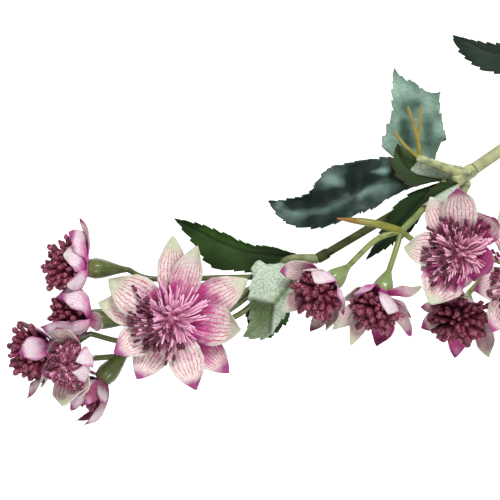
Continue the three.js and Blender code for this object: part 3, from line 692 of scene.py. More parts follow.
# A petal's dye: how far the flush reaches from its root, and how purple and how green its tip is.
DYES = {
    "g": (0.56, 0.0, 1.0),  # green tip
    "w": (0.5, 0.0, 0.4),  # white tip
    "m": (0.9, 1.0, 0.3),  # mostly flushed
    "p": (0.5, 1.0, 0.0),  # purple tip
    "v": (0.58, 1.0, 0.0),  # violet from further in
    "o": (0.78, 0.0, 0.8),  # flushed over half
    "x": (1.25, 1.0, 0.0),  # flushed all over
    "t": (0.2, 1.0, 0.0),  # purple tip alone
    "h": (0.66, 0.0, 0.8),  # flushed to half
    # On large_right's lowest petal the deep flush of d partly stands for painted shade under the head.
    "d": (0.86, 0.0, 0.9),  # deeply flushed, with a green tip
    "n": (0.08, 0.0, 0.3),  # nearly plain
}

# seat is where the cup ends, faces where the bloom looks, and size scales its head. Petals are [azimuth,
# length, width, lift, curl, twist, layer] in mm and degrees, azimuth 90 up the page, and dyes has one letter
# for each. An open bloom's anthers stand round the azimuth anthers, as far as spread degrees from it, and
# its filaments may be rosy. A half-open bloom has its number of clubs, club millimetres thick, maroon or
# pink, and its petals may be wine red.
BLOOMS = {
    "large_left": dict(
        kind=OPEN, seat=(-26.2, -23.2, 34), faces=(-0.03, 0.02, 1), cup=12,
        dyes="ghoompppgg", anthers=215, spread=78,
        petals=[
            (89, 25.5, 10.5, 5, 13, 4, 0), (70, 25.5, 10.5, 11, 14, -4, 1), (27, 26.5, 12.5, 4, 11, 4, 0),
            (-8, 24.5, 14, 13, 15, 2, 1), (-43, 24.5, 11, 4, 13, -9, 0), (-70, 24.5, 12, 9, 11, 4, 1),
            (-120, 21, 12, 3, 12, 1, 0), (-149, 21.5, 12, 9, 13, 5, 1), (168, 23, 11.5, 2, 12, 1, 0),
            (147.5, 24, 14.5, 8, 15, -5, 1),
        ],
    ),
    "upper_left": dict(
        kind=HALF_OPEN, seat=(-54.6, -6.2, 20.5), faces=(-1, 0.04, 0.1), cup=13,
        dyes="vvwwvpx", clubs=95, club=1.7,
        petals=[
            (77, 17, 6, -20, 55, 26, 1), (66, 13.5, 10, 2, 64, -42, 0), (34, 11.5, 11, 0, 103, 0, 1),
            (-42, 10.5, 8, 9, 78, 6, 0), (-98, 10.5, 7.5, 6, 107, 5, 1), (-135, 13, 8, 4, 90, 0, 0),
            (172, 14, 8.5, 4, 90, 0, 1),
        ],
    ),
    "middle_left": dict(
        kind=HALF_OPEN, seat=(-53.7, -23.4, 18.5), faces=(-0.98, 0.1, 0.06), cup=13, size=0.92,
        dyes="vtwwgp", clubs=85, club=1.8,
        petals=[
            (49, 17, 11, -20, 160, -10, 1), (-42, 19, 8.5, 34, 84, 2, 0), (-6, 13, 6.5, -38, 24, 8, 1),
            (-168, 13, 8, 8, 80, 0, 1), (-118, 10, 7, 20, 80, 0, 0), (136, 13, 8, 10, 80, 0, 0),
        ],
    ),
    "outer_left": dict(
        kind=HALF_OPEN, seat=(-67, -33, 12.6), faces=(-0.88, -0.3, -0.1), cup=13, size=1.08,
        dyes="vvpwvp", clubs=105, club=1.8,
        petals=[
            (12, 13, 8.5, 7, 109, 0, 1), (101, 14, 5, 29, 33, 22, 0), (-61, 18.5, 9.5, 25, 44, -62, 0),
            (-104, 14, 8, 8, 60, 0, 1), (-155, 13, 8, 10, 70, 0, 0), (142, 13, 8, 10, 70, 0, 1),
        ],
    ),
    "inner_left": dict(
        kind=HALF_OPEN, seat=(-58.5, -38.4, 26), faces=(-0.4, -0.1, 0.88), cup=12, size=0.8,
        dyes="gnnvvpw", clubs=130, club=1.3, pink=True,
        petals=[
            (-96, 14.5, 12.5, 21, 51, 8, 0), (-16, 15, 7.5, -5, 160, 0, 1), (22, 15, 7.5, -5, 160, 0, 0),
            (92, 17.5, 9, 8, 62, -10, 1), (130, 12, 8, 14, 70, 0, 0), (-164, 11, 8, 16, 60, 0, 1),
            (-64, 12, 8, 6, 44, 0, 1),
        ],
    ),
    "lower_left": dict(
        kind=HALF_OPEN, seat=(-50.4, -43.9, 12), faces=(-0.66, -0.72, -0.05), cup=13, size=0.56,
        dyes="vxtvxwp", clubs=56, club=1.8, wine=True,
        petals=[
            (-27, 13, 5, -6, 49, 11, 1), (-11, 13.5, 5, 18, 60, 21, 0), (12, 16.5, 5.5, 30, 106, 22, 1),
            (-63, 18, 5.5, 31, 82, -3, 0), (-112, 18, 6.5, 32, 103, -1, 1), (100, 13, 8, 14, 60, 0, 0),
            (165, 13, 8, 10, 70, 0, 1),
        ],
    ),
    "small_centre": dict(
        kind=HALF_OPEN, seat=(27.8, -10.7, 29), faces=(-0.6, -0.55, 0.55), cup=10, size=0.86,
        dyes="vwwvpgvo", clubs=84, club=2.1,
        petals=[
            (136, 16.5, 9, 5, 58, 30, 0), (100, 11, 8.5, -10, 95, 0, 1), (58, 12.5, 9.5, 10, 100, 0, 0),
            (-9, 15, 6.5, 10, 63, 5, 1), (-60, 10, 6, 4, 67, 2, 0), (-82, 16, 7.5, 18, 55, 4, 1),
            (-111, 17.5, 7, 26, 60, 13, 0), (-176, 19.5, 7.5, 18, 90, 1, 1),
        ],
    ),
    "small_right": dict(
        kind=HALF_OPEN, seat=(44.8, -13.9, 27), faces=(-0.3, -0.8, 0.5), cup=9, size=0.86,
        dyes="gwmwgtvxg", clubs=84, club=2.05,
        petals=[
            (-166, 19.5, 7.5, 24, 40, -1, 0), (153, 12.5, 8, -7, 74, 6, 1), (109, 11.5, 9.5, 1, 104, 9, 0),
            (26, 13.5, 9, 18, 73, 6, 1), (2, 12.5, 6, -12, 10, -1, 0), (-40, 11.5, 7, -5, 47, -5, 1),
            (-60, 16, 7.5, 15, 27, -1, 0), (-92, 19, 8.5, 20, 84, 3, 1), (-147, 21, 7, 20, 102, 1, 0),
        ],
    ),
    "large_right": dict(
        kind=OPEN, seat=(70.7, -0.7, 35), faces=(-0.1, -0.1, 1), cup=10, size=0.92,
        dyes="pwmxodgg", anthers=150, spread=110, rosy=True,
        petals=[
            (90, 25, 12, 12, 30, -1, 1), (117, 20, 11, 6, 24, 0, 0), (48, 19, 12.5, 8, 49, 4, 0),
            (-27, 15.5, 12, 14, 71, -7, 1), (-87, 10.5, 8.5, 7, 21, 1, 0), (-121, 18.5, 15, 11, 20, 2, 1),
            (-157, 12, 9, 5, 20, 0, 0), (172, 19, 11.5, 9, 27, 2, 1),
        ],
    ),
    "lower_right": dict(
        kind=HALF_OPEN, seat=(73.5, -19.5, 11), faces=(-0.25, -0.45, 0.85), cup=10,
        dyes="ppvwwvgxv", clubs=100, club=1.8,
        petals=[
            (173, 12, 5.5, 6, 20, -1, 0), (151, 12, 5.5, 6, 60, 1, 1), (-164, 14.5, 8, 10, 36, 1, 1),
            (112, 11, 8.5, 4, 84, 0, 0), (64, 9, 8, 9, 71, 0, 1), (-16, 13.5, 7, 5, 58, 2, 1),
            (-48, 20.5, 7.5, 9, 73, -6, 0), (-102, 16.5, 7, 6, 10, 0, 1), (-128, 12, 8, 6, 40, 0, 0),
        ],
    ),
    "far_right": dict(
        kind=OPEN, seat=(92.5, -8.5, 25), faces=(0.1, -0.2, 0.95), cup=11, size=0.92,
        dyes="gpvwvpgg", anthers=200, spread=120, rosy=True,
        petals=[
            (111, 23, 10.5, 4, 18, -3, 0), (-170, 18, 11.5, 12, 28, -4, 1), (-120, 19.5, 11, 3, 21, 1, 0),
            (-84, 22.5, 12, 11, 16, 0, 1), (-42, 21, 12, 5, 16, 0, 0), (-4, 21, 12, 11, 16, 0, 1),
            (36, 21, 12, 5, 16, 0, 0), (76, 22, 12, 11, 16, 0, 1),
        ],
    ),
}


Petal = namedtuple("Petal", "azimuth length width lift curl twist layer")

WIDEST_AT = 0.54  # share of a petal's length
TIP_SHAPE = 1.9
RAGGED = 0.05  # how far the edge strays, as a share of the width
RAGGED_SIZE = 1.3
FOLD_DEPTH = 0.35
FOLD_WIDTH = 0.16  # as a share of half the petal's width
PLEATS = 4
PLEAT_DEPTH = 0.07
FLUTTER = 0.05  # as a share of the width
FLUTTER_WAVES = 1.6
HOOK = 0.07  # how far the tip bends, as a share of the length
HOOK_FROM = 0.72  # share of the length
HOOK_SHARE = 0.28
HUB_SIDES = 24
HUB_HOLE = 0.95  # radius
HUB_RIM = 3.1  # radius
HUB_DROP = 0.9  # how far the rim is drawn down to the layer below
HUB_DYE = (1.3, 0, 0)


def axes_of(bloom):
    axis = Vector(bloom["faces"]).normalized()
    up = (AWAY - axis * AWAY.dot(axis)).normalized()
    return axis, up, up.cross(axis)


def outward(bloom, around):
    """The direction out from a bloom's axis at an angle round it, in radians from its right side."""
    up, right = bloom["axes"][1:]
    return right * cos(around) + up * sin(around)


def petal_width(u, root):
    """Share of the full width at share u of the length: narrow root, broad outer half, pointed tip."""
    if u < WIDEST_AT:
        return root + (1 - root) * sin(pi / 2 * u / WIDEST_AT)
    return 1 - ((u - WIDEST_AT) / (1 - WIDEST_AT)) ** TIP_SHAPE


def petal_spine(bloom, petal, u):
    """The petal's middle line at share u of its length, and the directions of its side and its face there."""
    axis = bloom["axes"][0]
    out = outward(bloom, radians(petal.azimuth))
    start = radians(petal.lift)
    end = start + radians(petal.curl) * u
    arc = petal.length / radians(petal.curl)
    inward = axis * cos(end) - out * sin(end)
    turn = radians(petal.twist) * u
    side = axis.cross(out) * cos(turn) + inward * sin(turn)
    face = inward * cos(turn) - axis.cross(out) * sin(turn)
    radius, height = ROOTS[petal.layer]
    spine = Vector(bloom["seat"]) + out * (radius + arc * (sin(end) - sin(start)))
    spine += axis * (height - arc * (cos(end) - cos(start)))
    return spine, side, face


def petal_relief(petal, cupped, u, v, number):
    """Height over a flat petal: cupping less the fold, pleats at the root, flutter and a hooked tip."""
    fold = FOLD_DEPTH * exp(-((v / FOLD_WIDTH) ** 2)) * sin(pi * min(u * 1.2, 1))
    pleats = PLEAT_DEPTH * cos(2 * PLEATS * pi * v) * (1 - u)
    waves = sin(2 * pi * (FLUTTER_WAVES * u + scatter(number, 1) + 0.25 * v))
    flutter = FLUTTER * petal.width * v * v * waves * smooth(u * 3)
    hook = HOOK * petal.length * scatter(number, 2) * smooth((u - HOOK_FROM) / HOOK_SHARE)
    return cupped - fold + pleats + flutter + hook


def petal_point(bloom, petal, u, v, number):
    """A point on a petal's middle surface, u from root to tip and v from -1 to 1 across."""
    spine, side, face = petal_spine(bloom, petal, u)
    ragged = 1 + RAGGED * rough(spine + side * v * 3, RAGGED_SIZE, number)
    half = petal.width / 2 * petal_width(u, bloom["kind"]["root"]) * ragged
    cupped = bloom["kind"]["cupping"] * half * v * v
    point = spine + side * v * half + face * petal_relief(petal, cupped, u, v, number)
    point.z = max(point.z, PETAL_THICKNESS / 2)
    return point


def petal_grid(bloom, petal, dye, number):
    rows = []
    lot = (number * 0.37) % 1
    for i in range(PETAL_ROWS + 1):
        u = i / PETAL_ROWS
        columns = PETAL_COLUMNS if i < PETAL_ROWS else 0
        row = []
        for j in range(columns + 1):
            v = 2 * j / columns - 1 if columns else 0
            row.append((petal_point(bloom, petal, u, v, number), ((v + 1) / 2, u), (dye, lot)))
        rows.append(row)
    return rows


def hub_grid(bloom, layer):
    """The cloth ring that a layer's petals are cut in one with, its rim drawn down to the layer below."""
    axis = bloom["axes"][0]
    radius, height = ROOTS[layer]
    middle = Vector(bloom["seat"]) + axis * height
    down = axis * HUB_DROP
    rows = []
    for k in range(HUB_SIDES + 1):
        out = outward(bloom, -2 * pi * k / HUB_SIDES)
        ring = (middle + out * HUB_HOLE, middle + out * radius * 0.6, middle + out * HUB_RIM - down)
        rows.append([(point, (0.5, 0.02), (HUB_DYE, 0.5)) for point in ring])
    return rows


def petal_ring(name, bloom, materials):
    grids = [hub_grid(bloom, layer) for layer in (0, 1)]
    for k, row in enumerate(bloom["petals"]):
        grids.append(petal_grid(bloom, Petal(*row), DYES[bloom["dyes"][k]], k + 13 * bloom["number"]))
    mesh = sheets(name + "_corolla", grids, materials, lambda place: 0, PETAL_THICKNESS, ("dye", "lot"))
    piece(name + "_corolla", mesh, "petal", name + "_petals")
    return mesh


def bent_run(foot, middle, end, radius, taper=0.4, count=8):
    """A tapering strand on a curve from foot to a round end, drawn towards middle."""
    run = []
    for i in range(count + 1):
        s = i / count
        point = foot * (1 - s) ** 2 + middle * 2 * s * (1 - s) + end * s * s
        run.append((point, radius * (1.15 - taper * s)))
    ahead = (run[-1][0] - run[-2][0]).normalized()
    last = run[-1][1]
    return run + [(end + ahead * last * 0.5, last * 0.8), (end + ahead * last * 0.8, last * 0.35)]


def core_run(bloom, profile):
    """The lump in the middle of a head, as a run along its axis of (radius, height)."""
    axis = bloom["axes"][0]
    seat = Vector(bloom["seat"])
    return [(seat + axis * height, radius) for radius, height in profile], 0


def clear_of(cloth, start, toward, room):
    """The vector toward, cut short where its end or the way to it would come within room of the cloth."""
    distance = cloth.ray_cast(placed(start), toward.normalized(), toward.length * MM)[3]
    share = 1 if distance is None else distance / MM / toward.length
    while share > 0.3 and cloth.find_nearest(placed(start + toward * share), room * MM)[0] is not None:
        share -= 0.05
    return toward * share


def head_angles(bloom, i, count):
    """The angle round the bloom's axis of a head's i-th strand, and its tilt from the axis."""
    top, bottom = (cos(radians(bloom["kind"][end])) for end in ("narrowest", "widest"))
    return i * GOLDEN_ANGLE, acos(top - (top - bottom) * (i + 0.4) / count)


def head_reach(bloom, swell, out, tilt):
    """The vector from a head's middle to the end of a strand that leans out by tilt."""
    kind = bloom["kind"]
    return bloom["axes"][0] * kind["height"] * swell * cos(tilt) + out * kind["reach"] * swell * sin(tilt)


TUFTS = 42
STRANDS_PER_TUFT = 5
OPEN_CORE = [(0.3, 2.3), (2.6, 2.5), (2.2, 4), (1.2, 4.8), (0.3, 5.2)]
FILAMENT = 0.33
ANTHER = 1.2
ANTHER_SLIMNESS = 0.52
FILAMENT_ROOM = 0.6
FOOT_HEIGHT = 2.6  # over the seat
FOOT_RADIUS = 1.3
BEND_RISE = 2.0
BEND_BOW = 2.2
BARE_SIDE = -0.3  # cosine of the angle from the anthers' side beyond which every fourth strand is missing
# How far tufts and their strands stray: in tilt and turn, in radians, in reach, and in thickness
TUFT_LEAN = 0.14
STRAND_LEAN = 0.07
TUFT_TURN = 0.15
STRAND_TURN = 0.16
TUFT_SPREAD = 0.13
STRAND_SPREAD = 0.1
UNEVENNESS = 0.09


def filament(bloom, i, cloth):
    """One of a tuft's long strands, with an anther on the anthers' side. Far from there, some are missing."""
    axis = bloom["axes"][0]
    size = bloom.get("size", 1)
    seat = Vector(bloom["seat"])
    middle = seat + axis * bloom["kind"]["middle"]
    tuft = i // STRANDS_PER_TUFT
    around, tilt = head_angles(bloom, tuft, TUFTS)
    tilt += TUFT_LEAN * scatter(tuft, 3) + STRAND_LEAN * scatter(i, 3)
    around += TUFT_TURN * scatter(tuft, 4) + STRAND_TURN * scatter(i, 4)
    near = cos(around - radians(bloom["anthers"])) + 0.4 * scatter(i, 9)
    if near < BARE_SIDE and i % 4 == 0:
        return []
    bears = near > cos(radians(bloom["spread"]))
    out = outward(bloom, around)
    spread = STRAND_SPREAD * (2 if bears else 1)
    swell = size * (0.9 + TUFT_SPREAD * scatter(tuft, bloom["number"]) + spread * scatter(i, 8))
    toward = clear_of(cloth, middle, head_reach(bloom, swell, out, tilt), FILAMENT_ROOM)
    foot = seat + axis * FOOT_HEIGHT + out * FOOT_RADIUS
    bend = middle + toward * 0.45 + axis * BEND_RISE + axis.cross(out) * BEND_BOW * scatter(tuft, 6)
    radius = FILAMENT + UNEVENNESS * scatter(i, 5)
    return [(bent_run(foot, bend, middle + toward, radius), ANTHER * size if bears else 0)]


def open_head(name, bloom, tree, finishes, cloth):
    """Tufts of filaments round a small core."""
    runs = [core_run(bloom, OPEN_CORE)]
    for i in range(TUFTS * STRANDS_PER_TUFT):
        runs += filament(bloom, i, cloth)
    values = {"Knob slimness": ANTHER_SLIMNESS, "Lumps": 0.9 * MM, "Seed": bloom["number"],
              "Strand": finishes["rosy" if bloom.get("rosy") else "pink"], "Knob": finishes["anther"]}
    piece(name + "_head", grown(lines(name + "_head", runs), tree, values), "floret", name + "_florets")


CLUB_REACH = 0.92  # share of the head's reach
CLUB_SPREAD = 0.17  # how far a club's reach strays
CLUB_ROOM = 0.25
KNOB_SHARE = 1.3  # radius of a club's knob, in radii of the club
THICK_KNOB_SHARE = 1.4  # the same where a club's radius is over 1
KNOB_SPREAD = 0.2


def club(bloom, i, cloth):
    """One of a head's short strands with a round end, held clear of the petals and the table."""
    axis = bloom["axes"][0]
    size = bloom.get("size", 1)
    half = bloom["club"] / 2
    middle = Vector(bloom["seat"]) + axis * bloom["kind"]["middle"]
    around, tilt = head_angles(bloom, i, bloom["clubs"])
    out = outward(bloom, around)
    toward = head_reach(bloom, size * (CLUB_REACH + CLUB_SPREAD * scatter(i, bloom["number"])), out, tilt)
    toward += axis.cross(out) * scatter(i, 3) + axis * scatter(i, 4)
    knob_size = half * (THICK_KNOB_SHARE if half > 1 else KNOB_SHARE) * (1 + KNOB_SPREAD * scatter(i, 6))
    toward = clear_of(cloth, middle, toward, knob_size + CLUB_ROOM)
    under = knob_size - middle.z - toward.z
    toward.z += max(under, 0)
    run = bent_run(middle + toward * 0.3, middle + toward * 0.7, middle + toward, half * 0.92, 0.2)
    return run, knob_size


def half_open_head(name, bloom, tree, finishes, cloth):
    """Short round-ended clubs that stand close together round a dark core."""
    size = bloom.get("size", 1)
    profile = [(0.4, 2.5), (2.4, 2.7), (4.2 * size, 4.6), (4.8 * size, 7), (3.8 * size, 9), (2, 10.4 * size),
               (0.4, 11 * size)]
    runs = [core_run(bloom, profile)]
    runs += [club(bloom, i, cloth) for i in range(bloom["clubs"])]
    large = bloom["club"] > 2
    values = {"Knob slimness": 0.7 if large else 0.84, "Lumps": (1.5 if large else 0.9) * MM,
              "Seed": bloom["number"], "Strand": finishes["pink" if bloom.get("pink") else "maroon"],
              "Knob": finishes["club end"]}
    piece(name + "_head", grown(lines(name + "_head", runs), tree, values), "floret", name + "_florets")


# Stems. A line is a row of points, and a run is a row of (point, radius).

MAIN_LINE = [(165, 87, 1.9), (152, 78.4, 1.9), (136, 67.8, 2.3), (119, 56.4, 5.2), (95, 40.2, 12.3),
             (76.2, 27.5, 19.3)]
SIDE_LINE = [(72, 24.5, 19.5), (58, 16.5, 14.6), (48.6, 11.9, 14.6), (23.8, -2.6, 16.9)]
STALK = 0.95
CAP_ANGLES = (0.15, 0.6, 1.1)
CAP_LENGTH = 0.5  # in radii
CUP_RADIUS = 3.5
CUP_ROWS = 20
CUP_RIM = ((0.7, 2.9), (1.2, 2.4), (1.3, 0.3))  # height over the seat, and radius

# An umbel's branches leave its hub as rods, each a line with its radii, and its stalks go from the hub
# through the points given to their blooms' cups.
UMBELS = {
    "left_umbel": dict(
        hub=(7.5, -9.2, 17.5),
        rods=[([(23, -3, 17), (14.5, -3.2, 17), (10.5, -5, 15.5), (7.5, -9.2, 17)], (1.65, 1.3))],
        stalks={
            "upper_left": [(-8, -9.4, 18), (-33, -9.9, 17.5)],
            "large_left": [(-2, -14.5, 19.5), (-17, -22, 19)],
            "middle_left": [(-14, -19.5, 17.5)],
            "inner_left": [(-14, -25, 14), (-38, -35, 10)],
            "outer_left": [(-14, -25, 12.5), (-38, -32, 8)],
            "lower_left": [(-5, -22.8, 15.5)],
        },
    ),
    "right_umbel": dict(
        hub=(51.5, 6.5, 24),
        rods=[
            ([(66.5, 23.5, 20.4), (59.5, 14.6, 22.3), (51.5, 6.5, 24)], (1.1, 1.1)),
            ([(51.5, 6.5, 24), (42, 9, 26.5), (29.6, 10.7, 27)], (1.2, 1.3, 1.15, 0.3)),
        ],
        stalks={
            "small_centre": [(43, 3.6, 25.5)],
            "small_right": [(50, 1, 23)],
            "large_right": [(58, 2.4, 22.5)],
        },
    ),
    "lower_umbel": dict(
        hub=(84, -3, 3.5),
        rods=[([(74.2, 23, 19.5), (72.4, 17, 16), (76, 6, 8), (84, -3, 3.5)], (1.6, 1.2))],
        stalks={"lower_right": [(80.5, -10, 1)], "far_right": [(89, -5, 7)]},
    ),
}


def rod(line, radii, count=40):
    """A run on a smooth line through the points given."""
    run = []
    for i in range(count + 1):
        s = i / count
        radius = blend([(r,) for r in radii], s * (len(radii) - 1))[0]
        run.append((Vector(blend(line, s * (len(line) - 1))), radius))
    return run


def cap(end, away):
    """A small round cap, from its tip to the end of the run that it closes."""
    point, radius = end
    return [(point + away * radius * CAP_LENGTH * cos(angle), radius * sin(angle)) for angle in CAP_ANGLES]


def rounded(line, radii, count=40):
    """A rod with its two ends drawn in, which bears no knob."""
    run = rod(line, radii, count)
    back = (run[0][0] - run[1][0]).normalized()
    ahead = (run[-1][0] - run[-2][0]).normalized()
    return cap(run[0], back) + run + cap(run[-1], ahead)[::-1], 0


def cup_run(bloom):
    """A cup from its stalk to its round shoulder under the petals, along the bloom's axis."""
    axis = bloom["axes"][0]
    seat = Vector(bloom["seat"])
    foot = seat - axis * bloom["cup"]
    run = []
    for i in range(CUP_ROWS + 1):
        s = i / CUP_ROWS
        radius = STALK + (CUP_RADIUS - STALK) * smooth(s / 0.9) ** 0.85 - 0.35 * smooth((s - 0.85) / 0.15)
        run.append((foot + axis * bloom["cup"] * s, radius))
    return run + [(seat + axis * height, radius) for height, radius in CUP_RIM]


def moulded_piece(name, tree, runs, finish, slot, node, sides=32, ribs=8.0, depth=0.03):
    values = {"Sides": sides, "Ribs": ribs, "Rib depth": depth, "Material": finish}
    piece(name, grown(lines(name, runs), tree, values), slot, node)


def umbel(name, tree, finish, rod_finishes):
    """The stalks with their cups are one piece, and each branch of the hub is another."""
    cluster = UMBELS[name]
    ribbing = {"sides": 40, "ribs": 10.0, "depth": 0.035}
    for k, (line, radii) in enumerate(cluster["rods"]):
        label = name + "_branch_" + str(k + 1)
        moulded_piece(label, tree, [rounded(line, radii)], rod_finishes[k], "cup", name, **ribbing)
    runs = []
    for bloom_name, via in cluster["stalks"].items():
        cup_line = cup_run(BLOOMS[bloom_name])
        line = [cluster["hub"], *via, tuple(cup_line[0][0])]
        runs.append((rod(line, (STALK, STALK), 30)[:-1] + cup_line, 0))
    moulded_piece(name + "_stalks", tree, runs, finish, "cup", name, **ribbing)


# Leaves

LEAF_THICKNESS = 0.34
TOOTH = 3.3
ROWS_PER_TOOTH = 9
LEAF_COLUMNS = 28
NOTCH = 1.0
NOTCH_FROM = 0.72  # share of the way to a leaf's edge
NOTCH_SHARE = 0.28
LEAN = 0.9
STEP = 0.05
RIBS_PER_TOOTH = 0.28
RIB_SLANT = 0.9
OTHER_SIDE = 0.35  # how far the left side's ribs are out of step with the right side's
RIB_WIDTH = 0.07
MIDRIB_WIDTH = 0.55
MIDRIB_DEPTH = 0.3
WAVE_SIZE = 7
# How far the folded-down part of a leaf is darkened: painted shade under the fold.
FOLD_SHADE = 0.7

